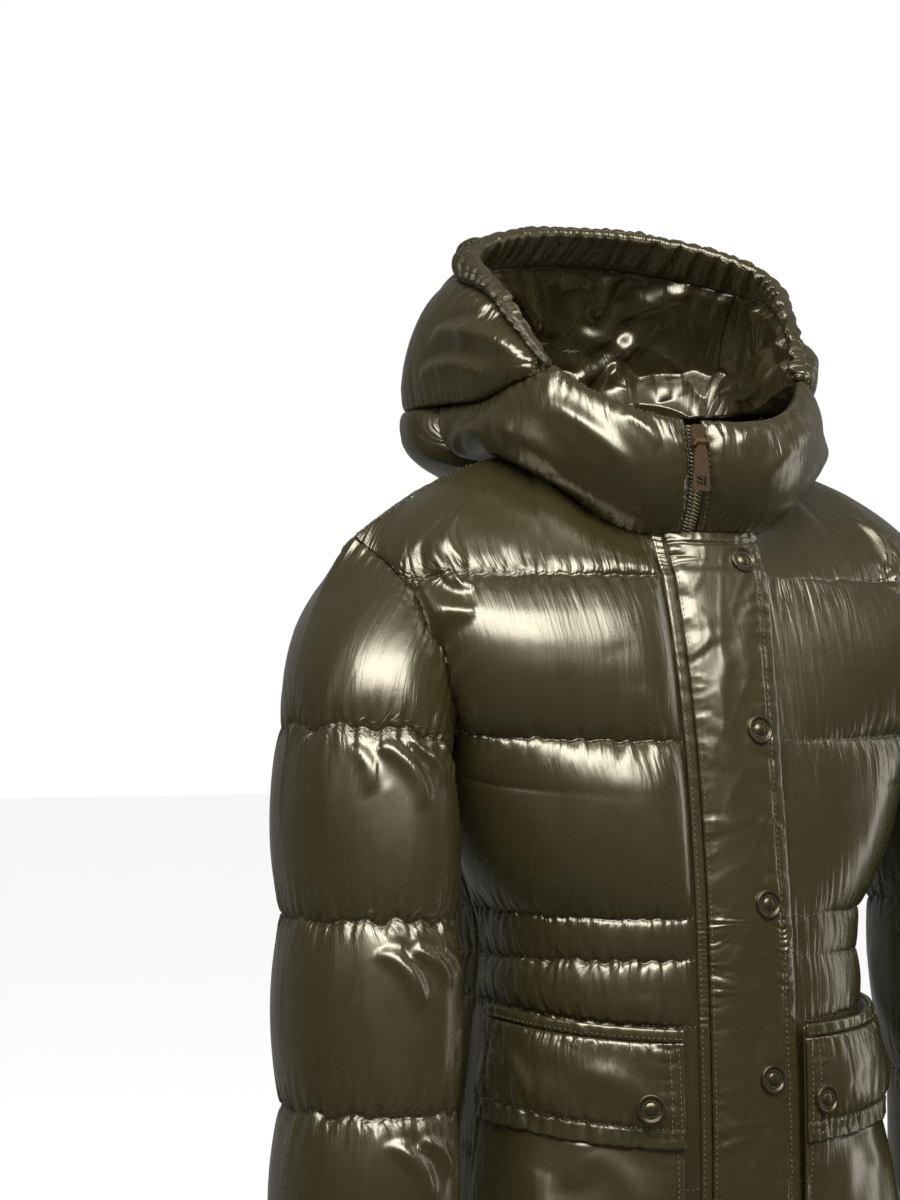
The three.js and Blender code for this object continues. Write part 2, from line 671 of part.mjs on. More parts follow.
// A padded piece of the hood between two turns, with seams at the given shares of each rib.
// soft is how far the padding falls near the first and last turn.
function hoodGrids({ from, to, across, seams, up, puff, soft, rests = 0 }) {
  const rows = seams.slice(0, -1).flatMap((low, i) => {
    const shares = i > 0 ? cushionSteps(up).slice(1) : cushionSteps(up);
    return shares.map((share) => ({ low, high: seams[i + 1], share }));
  });
  return grids(rows, cushionSteps(across), (row, share) => {
    const near = lerp(from(0.5), to, share);
    const t = lerp(row.low(near), row.high(near), row.share);
    const turn = lerp(from(t), to, share);
    const flank = swell(turn - from(t), soft[0]) * swell(to - turn, soft[1]);
    const pressed = 1 - rests * Math.pow(1 - row.share, 4);
    return { ...hoodSpot(turn, t), high: puff * pillow(row.share) * pressed * flank, low: -WALL };
  });
}

function makeHood() {
  const neck = () => 0;
  const edge = () => CASING_FROM - 0.004;
  const chin = { to: COLLAR_END, across: 12, seams: [neck, bandTop], up: 7, puff: HOOD_PUFF.collar };
  const start = (side) => (t) => turnAt(side * zipX(t) + CENTRE_GAP, t);
  const collar = (side) => hoodGrids({ ...chin, from: start(side), soft: [20, 12], rests: RESTS });
  add("collar_left", wall(collar(1)), NYLON);
  add("collar_right", wall(mirroredGrids(collar(-1))), NYLON);
  const temple = { from: () => CASING_START + 3, to: HOOD_SEAM, across: 8, seams: [bandTop, edge], up: 6 };
  const side = () => hoodGrids({ ...temple, puff: HOOD_PUFF.side, soft: [12, 14] });
  addBothSides("hood_side", side, NYLON);
  const back = { from: () => COLLAR_END, to: 360 - COLLAR_END, across: 16, seams: [neck, bandTop], up: 5 };
  const nape = wall(hoodGrids({ ...back, puff: HOOD_PUFF.nape, soft: [12, 12], rests: RESTS }));
  add("hood_nape", pressedBy(nape, [named("back")]), NYLON);
  const seams = [bandTop, () => CROWN_SEAM, edge];
  const crown = { from: () => HOOD_SEAM, to: 360 - HOOD_SEAM, across: 12, seams, up: 4 };
  add("hood_centre", wall(hoodGrids({ ...crown, puff: HOOD_PUFF.centre, soft: [14, 14] })), NYLON);
}

// The casing is gathered on its elastic into waves all along.
function makeCasing() {
  const count = CASING.waves * CASING.samples;
  const place = (share, j) => {
    const turn = lerp(CASING_START, 360 - CASING_START, j / count);
    const wave = CASING.puff + CASING.wave * Math.cos((2 * Math.PI * j) / CASING.samples);
    const round = share > 0 && share < 1 ? 1 : 0;
    return { ...hoodSpot(turn, lerp(CASING_FROM, 1, share)), high: 1 + round * wave, low: -WALL };
  };
  add("hood_casing", wall(grids([0, 0.45, 1], [...Array(count + 1).keys()], place)), NYLON);
}

// ---- Closure ----

// Height of the placket over the fronts' shell, by the share of its width.
const placketHeight = (share) => LAYER_GAP + PLACKET.thick + PLACKET.puff * pillow(share);

// The placket and its edge strip follow the fronts' own rows and edges, so that they lie close.
function makePlacket() {
  const top = levelOf(PLACKET.top);
  const levels = [...bodyLevels().filter((level) => level < top - 0.05), top];
  levels[0] = levelOf(PLACKET.bottom);
  const flap = (level, column) => {
    const edge = placketEdge(seamValue(level, "centre"));
    const seams = [PLACKET.right, ZIP.neck - CENTRE_GAP, ZIP.neck + CENTRE_GAP];
    const x = column < 3 ? seams[column] : lerp(seams[2], edge, (column - 2) / 2);
    const share = (x - PLACKET.right) / (edge - PLACKET.right);
    return { ...flatSpot(x, level), high: placketHeight(share), low: LAYER_GAP };
  };
  add("placket", wall(grids(levels, [0, 1, 2, 3, 4], flap)), STRAP);
  const stripTop = LAYER_GAP + EDGE_STRIP.thick;
  const strip = (level, x) => ({ ...flatSpot(x, level), high: stripTop, low: LAYER_GAP });
  add("edge_strip", wall(grids(levels, [EDGE_STRIP.right, EDGE_STRIP.left], strip)), STRAP);
}

// A spot whose thickness runs straight out, for what lies on a front.
function flatSpot(x, level) {
  const { point, out } = frontSpot(x, level);
  return { point, out };
}

// The chain fills the gap between the fronts and, over the neck seam, between the collars.
function makeZipChain() {
  const levels = [levelOf(PLACKET.bottom), ...bodyLevels().slice(1)];
  const body = levels.map((level) => frontSpot(ZIP.neck, level).point);
  const chin = between(0.12, ZIP.top, steps(7)).map((t) => hoodPoint(turnAt(zipX(t), t), t));
  const path = [...body, ...chin];
  const last = path.length - 1;
  const place = (i, side) => {
    const along = path[Math.min(i + 1, last)].clone().sub(path[Math.max(i - 1, 0)]);
    const point = path[i].clone().add(at(side * ZIP.half, 0, 0));
    return { point, out: at(0, -along.z, along.y).normalize(), high: -0.2, low: -ZIP.thick };
  };
  add("zip_chain", wall(grids([...path.keys()], [-1, 1], place)), CHAIN);
}

// A snap cap: a disc with a raised rim and a small dome.
function snapGeometry() {
  const { radius, thick } = SNAP;
  const profile = [
    [0, 0],
    [radius, 0],
    [radius - 0.6, thick * 0.8],
    [radius - 2.2, thick * 0.8],
    [radius - 2.8, thick * 0.5],
    [0, thick * 0.7],
  ];
  return new THREE.LatheGeometry(profile.map(([r, h]) => new THREE.Vector2(r, h)), 12);
}

function addSnap(name, x, level, lift) {
  const { point, out } = frontSpot(x, level);
  const snap = add(name, snapGeometry(), SNAP_METAL);
  snap.position.copy(point).addScaledVector(out, lift + SNAP.clear);
  snap.quaternion.setFromUnitVectors(at(0, 1, 0), out);
}

function makeSnaps() {
  for (let i = 0; i < SNAP.count; i += 1) {
    const z = SNAP.top - i * SNAP.pitch;
    const x = placketEdge(z) - SNAP.inset;
    const share = (x - PLACKET.right) / (placketEdge(z) - PLACKET.right);
    addSnap(`snap_${i + 1}`, x, levelOf(z), placketHeight(share));
  }
}

// ---- Pockets ----

// A piece that lies on the left front between two heights, from its inner edge to the side.
function onFront(zs, from, high, low) {
  return grids(zs, cushionSteps(8), (z, share) => {
    const level = levelOf(z);
    const u = lerp(shareAt("front", level, from), POCKET.outer, share);
    const { point, out } = bodySpot("front", u, level);
    return { point, out, high: high(z, share), low };
  });
}

function pocketHeight(z, share) {
  const bag = (z - POCKET.bottom) / (FLAP.bottom - POCKET.bottom);
  const swollen = POCKET.puff * pillow(bag) * pillow(share);
  return ON_FRONT + POCKET.thick + (z < FLAP.bottom ? swollen : 0);
}

function flapHeight(z, share) {
  const full = (z - FLAP.bottom - FLAP.border) / (FLAP.top - FLAP.bottom - FLAP.border);
  return ON_POCKET + FLAP.thick + FLAP.puff * pillow(clamp(full, 0, 1)) * pillow(share);
}

function makePockets() {
  const border = FLAP.bottom + FLAP.border;
  const flapRows = [FLAP.bottom, ...between(border, FLAP.top, cushionSteps(4))];
  const bag = between(POCKET.bottom, FLAP.bottom, cushionSteps(5));
  const bagRows = [...bag, ...flapRows.slice(1), POCKET.top];
  const stripRows = [MOUTH_STRIP.bottom, MOUTH_STRIP.top];
  const stripHigh = () => ON_POCKET + MOUTH_STRIP.thick;
  for (const [side, from] of Object.entries(POCKET_INNER)) {
    const placed = (made) => wall(side === "left" ? made : mirroredGrids(made));
    add(`pocket_${side}`, placed(onFront(bagRows, from, pocketHeight, ON_FRONT)), NYLON);
    add(`mouth_strip_${side}`, placed(onFront(stripRows, from, stripHigh, ON_POCKET)), STRAP);
    add(`flap_${side}`, placed(onFront(flapRows, from, flapHeight, ON_POCKET)), NYLON);
    const x = FLAP_SNAP[side];
    const level = levelOf(FLAP_SNAP.z);
    const inner = shareAt("front", level, from);
    const share = (shareAt("front", level, x) - inner) / (POCKET.outer - inner);
    addSnap(`flap_snap_${side}`, side === "left" ? x : -x, level, flapHeight(FLAP_SNAP.z, share));
  }
}

// ---- Slider and pull tab ----

// A plate that stands in the XZ plane, its thickness centred on a depth.
function uprightPlate(shape, thick, depth) {
  const plate = new THREE.ExtrudeGeometry(shape, { depth: thick, bevelEnabled: false, curveSegments: 6 });
  return plate.rotateX(Math.PI / 2).translate(0, depth + thick / 2, 0);
}

function rodAlongX(radius, long) {
  return new THREE.CylinderGeometry(radius, radius, long, 16).rotateZ(Math.PI / 2);
}

// A taper symmetrical about the z axis, from a list of half widths and heights.
function taper(outline) {
  const shape = new THREE.Shape(outline.map(({ half, z }) => new THREE.Vector2(half, z)));
  [...outline].reverse().forEach(({ half, z }) => shape.lineTo(-half, z));
  shape.closePath();
  return shape;
}

// The slider's face carries two ears with the pin between them.
function sliderGeometry() {
  const { thick, ear, earGap, earRadius } = SLIDER;
  const face = PIN.out + thick / 2;
  const plate = manifoldOf(uprightPlate(taper(SLIDER_OUTLINE), thick, face));
  const ears = [-1, 1].map((side) => {
    const x = side * (earGap + ear / 2);
    const knob = manifoldOf(rodAlongX(earRadius, ear).translate(x, 0, 0));
    const leg = new THREE.BoxGeometry(ear, PIN.out + 0.4, earRadius * 2);
    return knob.add(manifoldOf(leg.translate(x, (PIN.out + 0.4) / 2, 0)));
  });
  const pin = manifoldOf(rodAlongX(PIN.radius, 2 * earGap + ear));
  return geometryOf(plate.add(ears[0]).add(ears[1]).add(pin));
}

// The tab: a knuckle round the pin, and a plate that widens to a window near its foot.
function tabGeometry() {
  const shape = taper(TAB_OUTLINE);
  const { half, low, high } = TAB_WINDOW;
  const window = new THREE.Path([
    new THREE.Vector2(-half, low),
    new THREE.Vector2(half, low),
    new THREE.Vector2(half, high),
    new THREE.Vector2(-half, high),
  ]);
  window.closePath();
  shape.holes.push(window);
  const plate = manifoldOf(uprightPlate(shape, TAB.thick, 0));
  const knuckle = manifoldOf(rodAlongX(TAB.knuckle, TAB_OUTLINE[0].half * 2));
  const bore = manifoldOf(rodAlongX(TAB.bore, TAB_OUTLINE[0].half * 3));
  return geometryOf(plate.add(knuckle).subtract(bore));
}

function makeSlider() {
  const seat = hoodPoint(turnAt(zipX(SLIDER.share), SLIDER.share), SLIDER.share);
  const pinY = seat.y - LAYER_GAP - SLIDER.lean - SLIDER.thick - PIN.out;
  for (const [name, geometry] of [["zip_slider", sliderGeometry()], ["pull_tab", tabGeometry()]]) {
    add(name, geometry, ZIP_METAL).position.set(seat.x, pinY, seat.z);
  }
}

makeBody();
makeSleeves();
makeHood();
makeCasing();
makePlacket();
makeZipChain();
makeSnaps();
makePockets();
makeSlider();
pressBothSides("sleeve", "front", "back");
pressBothSides("collar", "front", "back", "hood_nape");
pressBothSides("hood_side", "collar", "hood_nape");

export default part;
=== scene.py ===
"""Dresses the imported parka: padded, gathered nylon over its frame, with closure, stitching and stage."""

import math

import bpy
import mathutils
import numpy as np
from bpy.props import FloatProperty, FloatVectorProperty, PointerProperty
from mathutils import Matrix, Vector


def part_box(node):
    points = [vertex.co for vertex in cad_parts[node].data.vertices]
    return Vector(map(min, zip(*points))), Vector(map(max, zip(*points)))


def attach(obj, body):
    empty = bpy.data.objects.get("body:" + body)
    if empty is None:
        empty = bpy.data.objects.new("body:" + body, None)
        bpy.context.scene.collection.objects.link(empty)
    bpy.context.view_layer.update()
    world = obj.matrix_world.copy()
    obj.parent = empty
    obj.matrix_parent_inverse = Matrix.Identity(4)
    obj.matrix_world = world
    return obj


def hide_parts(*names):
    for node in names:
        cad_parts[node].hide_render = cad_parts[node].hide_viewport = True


bl_info = {
    "name": "Padded Parka",
    "version": (1, 0, 0),
    "blender": (4, 5, 0),
    "location": "3D View > Sidebar > Parka",
    "description": "Builds a hooded padded parka round its packed frame",
    "category": "Object",
}

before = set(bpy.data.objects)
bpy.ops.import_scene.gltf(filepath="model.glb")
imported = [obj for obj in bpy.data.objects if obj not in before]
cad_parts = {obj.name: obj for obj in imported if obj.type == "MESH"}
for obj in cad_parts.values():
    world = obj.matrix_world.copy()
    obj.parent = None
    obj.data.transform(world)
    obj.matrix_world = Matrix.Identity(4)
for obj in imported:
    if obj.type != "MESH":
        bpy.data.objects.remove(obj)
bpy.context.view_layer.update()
CLOTH_BODY = "parka"
MM = 0.001
SIDES = ("left", "right")


# ---- Sizes of the cut, in millimetres: the frame's own sections and seams ----


def table(names, *rows):
    """Rows of numbers as named columns."""
    return {name: np.array([row[i] for row in rows], float) for i, name in enumerate(names.split())}


WALL = 2.5
SEAM_GAP = 0.2
LAYER_GAP = 0.35
BODY = table(
    "z side front back",
    (-600, 140, 124, 108),
    (-505, 138, 126, 108),
    (-400, 131, 128, 104),
    (-321, 120, 126, 98),
    (-282, 116, 124, 96),
    (-258, 119, 123, 97),
    (-213, 134, 118, 101),
    (-155, 150, 110, 105),
    (-100, 165, 98, 100),
    (-56, 175, 85, 88),
)
SIDE_Y = -5
SECTION = table("z power", (-600, 0.76), (-190, 0.76), (-130, 0.95), (-56, 1))
ARMHOLE_FRONT = table(
    "share x y z",
    (0, 150, -5, -160),
    (0.1, 151, -28, -157),
    (0.3, 158, -60, -138),
    (0.53, 170, -66, -98),
    (0.76, 185, -46, -60),
    (1, 200, -8, -33),
)
ARMHOLE_BACK = table(
    "share x y z",
    (0, 150, -5, -160),
    (0.1, 151, 18, -157),
    (0.3, 158, 46, -138),
    (0.53, 171, 58, -98),
    (0.76, 187, 38, -60),
    (1, 200, -8, -33),
)
SIDE_SEAM = 440
ARMHOLE = 204
# A row for each quilting seam from the hem up: its places, the swell up to the next seam, and its mesh rows.
QUILTING = table(
    "centre edge front back rows",
    (-600, 0, 16, 16, 36),
    (-505, 98, 4, 15, 36),
    (-415, 203, 4, 15, 36),
    (-321, 292, 8, 8, 24),
    (-282, 318, 6, 6, 12),
    (-258, 346, 19, 17, 48),
    (-155, 485, 18, 16, 48),
    (-56, 595, 12, 12, 48),
    (-32, 644, 0, 0, 0),
)
YOKE = 7
TOP = 8
SIDE_REACH = 0.1
ARMHOLE_REACH = 0.3
EDGE_PUFF = table("edge share", (0, 0.62), (370, 0.6), (425, 0.05), (485, 0.05), (540, 0.3), (644, 0.5))
NECK = dict(side=84, y=2, front=-75, back=70, front_z=-32, side_z=24, back_z=-5)
NECK_SHARE = 0.4
SHOULDER = dict(x=200, y=-8, z=-33, arch=6)
SHOULDER_ROOT = -60
SLEEVE = table(
    "z x y wide deep",
    (-548, 218, -70, 36, 41),
    (-525, 217, -67, 40, 46),
    (-470, 215, -61, 47, 54),
    (-364, 208, -53, 49, 58),
    (-256, 202, -40, 49, 59),
    (-146, 197, -26, 49, 57),
)
SLEEVE_ROWS = table(
    "top bottom puff rows",
    (-146, -256, 12.5, 48),
    (-256, -364, 12.5, 48),
    (-364, -470, 12.5, 48),
    (-470, -524, 7, 24),
)
PRESSED = 11
CAP = dict(puff=6, rows=60, drop=25, z=-146)
CUFF = dict(top=-524.2, bottom=-548, puff=2, rows=12)
HOOD_LOW = table(
    "turn x y z",
    (0, 0, -88, -12),
    (30, 50, -81, -7),
    (60, 91, -50, 13),
    (90, 111, 5, 35),
    (120, 115, 77, 32),
    (150, 66, 112, 28),
    (180, 0, 122, 24),
)
HOOD_HIGH = table(
    "turn x y z",
    (0, 0, -95, 13),
    (30, 53, -85, 21),
    (60, 91, -52, 44),
    (90, 107, 4, 84),
    (120, 113, 74, 92),
    (150, 64, 108, 98),
    (180, 0, 122, 101),
)
HOOD_RIM = table(
    "turn x y z",
    (0, 0, -93, 37),
    (30, 49, -82, 43),
    (60, 86, -50, 70),
    (90, 104, -9, 121),
    (120, 103, 22, 147),
    (150, 63, 43, 164),
    (180, 0, 50, 169),
)
BAND = table(
    "turn top", (0, 1), (59, 1), (63, 0.88), (70, 0.72), (80, 0.55), (90, 0.46), (110, 0.45), (180, 0.46)
)
COLLAR_END = 96
CASING_START = 63.5
HOOD_SEAM = 124
CROWN_SEAM = 0.68
CASING_FROM = 0.9
ZIP = dict(neck=-11, chin=-17, half=5, top=0.95)
CENTRE_GAP = 5.6
PLACKET = dict(right=-26, top=-36, bottom=-596, thick=3.5, puff=2.5)
PLACKET_EDGE = table("z x", (-600, 34), (-415, 33), (-300, 31), (-190, 30), (-130, 32), (-70, 37), (-36, 40))
EDGE_STRIP = dict(right=-33.5, left=-26.5, thick=1.6)
FLAT = 1.5
SNAP = dict(thick=2.6, inset=20)
SNAP_INSETS = (18.5, 16, 18, 20, 20, 20)
POCKET = dict(top=-323, bottom=-503, outer=0.9, thick=2.2, puff=11)
MOUTH_STRIP = dict(top=-322, bottom=-329.5, thick=2)
FLAP = dict(top=-330, bottom=-391, border=12, thick=2.2, puff=8)
POCKET_INNER = dict(right=46, left=34)
ON_FRONT = 5.4
ON_POCKET = ON_FRONT + POCKET["thick"] + LAYER_GAP
COLLAR_LAP = 8  # how far the chin part's rolled end laps over the nape part, in degrees
ROLL_RISE = 37
LINING_GATHER = 3.6
PLACKET_LINES = dict(first=1.8, free=8.5, top=6)

# ---- Grids, random seeds and the studio ----

SEARCH_STEPS = 26
FRONT_COLUMNS = 156
BACK_HALF_COLUMNS = 129
SLEEVE_COLUMNS = 216
HOOD_COLUMNS = dict(collar=144, side=96, nape=200, centre=144)
CASING_COLUMNS, CASING_ROWS = 480, 24
PLACKET_COLUMNS, PLACKET_ROWS = 40, 360
SIM_FRAMES = 20
SIM_STEP = 3
SEEDS = dict(
    front_left=100, front_right=200, back=300, sleeve_left=500, sleeve_right=600, cuff=700,
    collar_left=900, collar_right=950, hood_side_left=1000, hood_side_right=1100,
    hood_nape=1200, hood_centre=1300, hood_casing=1400, placket=1500,
    pocket_left=1600, pocket_right=1700, snaps=1800,
)
# name, then right, toward the camera and up in metres, width, height and power in watts
LAMPS = (
    ("key", 0.25, 1.7, 1.5, 3.0, 1.0, 142),
    ("fill", -1.6, 1.2, 0.9, 0.4, 1.2, 1.5),
    ("side", 1.9, -0.7, 0.2, 0.5, 2.0, 8),
)
LAMP_TARGET = (0, 0, -0.15)
FLOOR_SIZE, FLOOR_HEIGHT = 60, -1.15
CAMERA_HEIGHT = -0.13
AIM_RIGHT, AIM_UP = -190 / 3200, 100 / 3200  # of the camera's distance
LENS, SENSOR_HEIGHT = 96, 36

# ---- Folds listed one by one: start along and up the piece, length, angle, width and height ----

FRONT_FOLDS = (
    (158, 592, 50, -112, 4.5, 5.0), (168, 570, 48, -124, 4, 4.4), (148, 604, 44, -100, 4, 3.6),
    (176, 540, 44, -134, 4, 3.6), (60, 500, 70, 70, 14, 0.8), (30, 420, 60, 75, 10, 1.0),
    (100, 380, 50, 60, 9, 1.0), (40, 240, 60, 80, 9, 1.0),
)
BACK_FOLDS = (
    (60, 560, 60, -62, 6, 2.4), (340, 560, 60, -118, 6, 2.4), (90, 470, 70, 18, 9, 1.5),
    (300, 480, 70, 160, 9, 1.5), (200, 400, 80, 70, 14, 1.0), (120, 250, 60, 80, 10, 1.0),
    (260, 150, 60, 100, 10, 1.0),
)
SLEEVE_FOLDS = (
    (64, 372, 44, -58, 4.5, 3.8), (78, 373, 34, -46, 3.6, 3.0), (50, 371, 30, -72, 4, 2.4),
    (90, 374, 34, -40, 4, 2.6), (64, 254, 38, -58, 4.5, 3.8), (80, 254, 30, -44, 3.6, 3.0),
    (92, 254, 30, -40, 4, 2.4), (68, 147, 38, -56, 4.5, 3.6), (84, 148, 28, -44, 3.6, 2.8),
    (120, 300, 60, -70, 9, 2.4), (140, 330, 50, -75, 6, 2.4), (200, 240, 60, -110, 8, 2.2),
    (220, 130, 60, -125, 8, 2.0), (250, 300, 50, -100, 8, 1.6),
)
COLLAR_FOLDS = (
    (34, 40, 60, 24, 6, 2.0), (70, 24, 60, 12, 8, 2.2), (110, 40, 50, -16, 7, 2.2),
    (20, 58, 26, 40, 4, 1.5), (126, 18, 40, 30, 6, 2.0), (150, 40, 34, -40, 6, 2.2),
    (8, 26, 40, 86, 4, 1.6),
)
NAPE_FOLDS = (
    (30, 18, 40, 50, 6, 2.2), (60, 30, 36, 100, 6, 2.0), (120, 16, 50, 70, 8, 2.2),
    (180, 20, 40, 110, 7, 2.0), (240, 14, 40, 60, 7, 2.0),
)
ROLL_FOLDS = (
    (40, 20, 60, 70, 8, 5.0), (70, 30, 50, 110, 6, 4.0), (104, 20, 60, 80, 8, 5.0),
    (128, 40, 44, 30, 6, 4.0), (150, 16, 60, 100, 7, 5.0), (176, 30, 50, 140, 6, 4.5),
    (196, 16, 60, 85, 8, 5.0), (220, 40, 50, 20, 7, 4.0), (250, 20, 60, 95, 8, 5.0),
)
SIDE_FOLDS = (
    (10, 16, 80, 20, 6, 4.6), (24, 6, 70, 10, 5, 3.6), (4, 40, 70, 34, 6, 4.2), (16, 60, 60, 44, 5, 3.6),
    (50, 30, 60, 60, 8, 3.0), (10, 84, 44, 30, 4.5, 3.2), (30, 96, 40, 52, 5, 3.0),
    (70, 70, 50, 80, 7, 2.6),
)
CENTRE_FOLDS = (
    (30, 30, 60, 40, 8, 2.2), (90, 40, 60, 100, 10, 2.2), (150, 30, 50, 60, 8, 2.0),
    (200, 50, 50, 120, 8, 2.0), (60, 90, 40, 20, 7, 1.8),
)
HOOD_LINING_FOLDS = (
    (150, 16, 130, 146, 8, 8.0), (148, 34, 90, 84, 9, 8.0), (176, 30, 80, 76, 8, 6.0),
    (112, 34, 84, 104, 9, 7.0), (160, 104, 60, 222, 8, 7.0), (28, 106, 86, -42, 8, 7.5),
    (100, 100, 60, -80, 7, 5.0), (200, 60, 60, 60, 9, 5.0), (226, 96, 60, 200, 8, 5.0),
    (90, 112, 50, 250, 7, 4.5), (60, 50, 50, 20, 7, 4.5),
)
PLACKET_FOLDS = (
    (16, 40, 60, 80, 5, 1.2), (38, 90, 70, 84, 6, 1.4), (24, 170, 50, 70, 5, 1.2),
    (44, 215, 60, 96, 5, 1.5), (20, 262, 70, 86, 6, 1.2), (46, 300, 46, 60, 4, 1.6),
    (30, 360, 60, 100, 6, 1.3), (22, 430, 70, 84, 6, 1.2), (40, 470, 60, 78, 6, 1.2),
)
FLAP_FOLDS = (
    (18, 22, 40, 30, 7, 0.9), (60, 30, 40, -24, 8, 0.8), (84, 18, 36, 50, 5, 1.2),
)
BAG_FOLDS = (
    (20, 60, 60, 60, 9, 2.0), (60, 90, 70, 80, 10, 2.0), (90, 40, 60, 100, 9, 2.0),
    (40, 20, 40, 20, 7, 1.6),
)


# ---- Curves and numbers ----


def lerp(a, b, t):
    return a + (b - a) * t


def clamp(value, low=0.0, high=1.0):
    return np.clip(value, low, high)


def pillow(t):
    """How padding swells from seam to seam."""
    return clamp(4 * t * (1 - t)) ** 0.6


def swell(distance, reach):
    """How padding rises from one edge."""
    return np.sqrt(1 - (1 - clamp(distance / reach)) ** 2)


def curve(rows, key, name):
    """A smooth function through one column of a table."""
    order = np.argsort(rows[key])
    x, y = rows[key][order], rows[name][order]
    last = len(x) - 1
    spot = np.arange(last + 1)
    before, after = np.maximum(spot - 1, 0), np.minimum(spot + 1, last)
    slope = (y[after] - y[before]) / (x[after] - x[before])

    def value(v):
        v = np.clip(v, x[0], x[-1])
        i = np.clip(np.searchsorted(x, v, side="right") - 1, 0, last - 1)
        span = x[i + 1] - x[i]
        t = (v - x[i]) / span
        ends = y[i] + (y[i + 1] - y[i]) * t * t * (3 - 2 * t)
        return ends + span * t * (1 - t) * (slope[i] * (1 - t) - slope[i + 1] * t)

    return value


def point(x, y, z):
    return np.stack(np.broadcast_arrays(x, y, z), axis=-1).astype(float)


def space_curve(rows, key):
    x, y, z = (curve(rows, key, name) for name in "xyz")
    return lambda v: point(x(v), y(v), z(v))


def unit(vectors):
    return vectors / np.maximum(np.linalg.norm(vectors, axis=-1, keepdims=True), 1e-9)


def bezier(a, b, c, d, t):
    t = np.asarray(t)[..., None]
    return a * (1 - t) ** 3 + b * 3 * t * (1 - t) ** 2 + c * 3 * t * t * (1 - t) + d * t**3


def mirrored(points):
    return points * np.array([-1.0, 1, 1])


def search(low, high, short):
    """The last value between two at which a test still says short."""
    for _ in range(SEARCH_STEPS):
        middle = (low + high) / 2
        inside = short(middle)
        low, high = np.where(inside, middle, low), np.where(inside, high, middle)
    return low


def lengths_along(points):
    steps = np.linalg.norm(np.diff(points, axis=1), axis=2)
    return np.concatenate([np.zeros((len(points), 1)), np.cumsum(steps, axis=1)], axis=1)


def lengths_up(points):
    return lengths_along(points.transpose(1, 0, 2)).T


def run_of(points):
    """Lengths along a single line of points."""
    return lengths_along(points[None])[0]


# ---- Surfaces of the shell ----

body_side = curve(BODY, "z", "side")
body_depth = {"front": curve(BODY, "z", "front"), "back": curve(BODY, "z", "back")}
section_power = curve(SECTION, "z", "power")
armhole = {"front": space_curve(ARMHOLE_FRONT, "share"), "back": space_curve(ARMHOLE_BACK, "share")}
edge_puff = curve(EDGE_PUFF, "edge", "share")
placket_edge = curve(PLACKET_EDGE, "z", "x")


def seam_value(level, name):
    return np.interp(level, np.arange(TOP + 1), QUILTING[name])


def level_of(z):
    return np.interp(z, QUILTING["centre"], np.arange(TOP + 1))


def edge_point(panel, length):
    z = BODY["z"][0] + length
    side = point(body_side(z), SIDE_Y, z)
    hole = armhole[panel](clamp((length - SIDE_SEAM) / ARMHOLE))
    return np.where((length > SIDE_SEAM)[..., None], hole, side)


def neck_point(turn):
    """The neck seam by the angle round it from the centre front."""
    around = np.mod(turn + 180, 360) - 180
    angle = np.radians(np.abs(around))
    front = np.abs(around) < 90
    reach = np.where(front, NECK["y"] - NECK["front"], NECK["back"] - NECK["y"])
    start = np.where(front, NECK["front_z"], NECK["back_z"])
    share = np.abs(np.cos(angle))
    z = lerp(NECK["side_z"], start, share * share * (3 - 2 * share))
    return point(np.sign(around) * NECK["side"] * np.sin(angle), NECK["y"] - reach * np.cos(angle), z)


def yoke_top(panel, u):
    turn = 90 * np.minimum(u, NECK_SHARE) / NECK_SHARE
    neck = neck_point(turn if panel == "front" else 180 - turn)
    share = clamp((u - NECK_SHARE) / (1 - NECK_SHARE))
    x = lerp(NECK["side"], SHOULDER["x"], share)
    z = lerp(NECK["side_z"], SHOULDER["z"], share) + SHOULDER["arch"] * np.sin(np.pi * share)
    shoulder = point(x, lerp(NECK["y"], SHOULDER["y"], share), z)
    return np.where((u <= NECK_SHARE)[..., None], neck, shoulder)


def body_section(panel, u, level):
    z = seam_value(level, "centre")
    edge = edge_point(panel, seam_value(level, "edge"))
    centre_y = -body_depth["front"](z) if panel == "front" else body_depth["back"](z)
    power = section_power(z)
    out = np.sin(u * np.pi / 2) ** power
    forward = clamp(np.cos(u * np.pi / 2)) ** power
    return point(edge[..., 0] * out, lerp(edge[..., 1], centre_y, forward), lerp(z, edge[..., 2], u**1.5))


def yoke_section(panel, u, share):
    low = body_section(panel, u, np.full(np.shape(u), float(YOKE)))
    high = yoke_top(panel, u)
    reach = np.linalg.norm(high - low, axis=-1, keepdims=True) / 3
    back = 1 if panel == "front" else -1
    neck = clamp(2 - 2 * u)
    rise = point(0, lerp(0.4, 0.55, neck) * back, lerp(0.9, 0.6, neck))
    flat = lerp(0.5, 0.85, np.minimum(1, u / NECK_SHARE))
    fall = point(0, -flat * back, flat - 1.3)
    return bezier(low, low + rise * reach, high + fall * reach, high, share)


def body_point(panel, across, up):
    """The body's shell. across is signed, from the centre to the edge, and up counts the seams."""
    u, level = np.broadcast_arrays(clamp(np.abs(across)), clamp(up, 0, TOP))
    share = clamp(level - YOKE)
    edge = edge_point(panel, seam_value(level, "edge"))
    yoke = yoke_section(panel, u, share)
    off = edge - yoke_section(panel, np.ones_like(u), share)
    yoke = yoke + off * (u**6)[..., None]
    found = np.where((level > YOKE)[..., None], yoke, body_section(panel, u, np.minimum(level, YOKE)))
    return np.where((np.asarray(across) < 0)[..., None], mirrored(found), found)


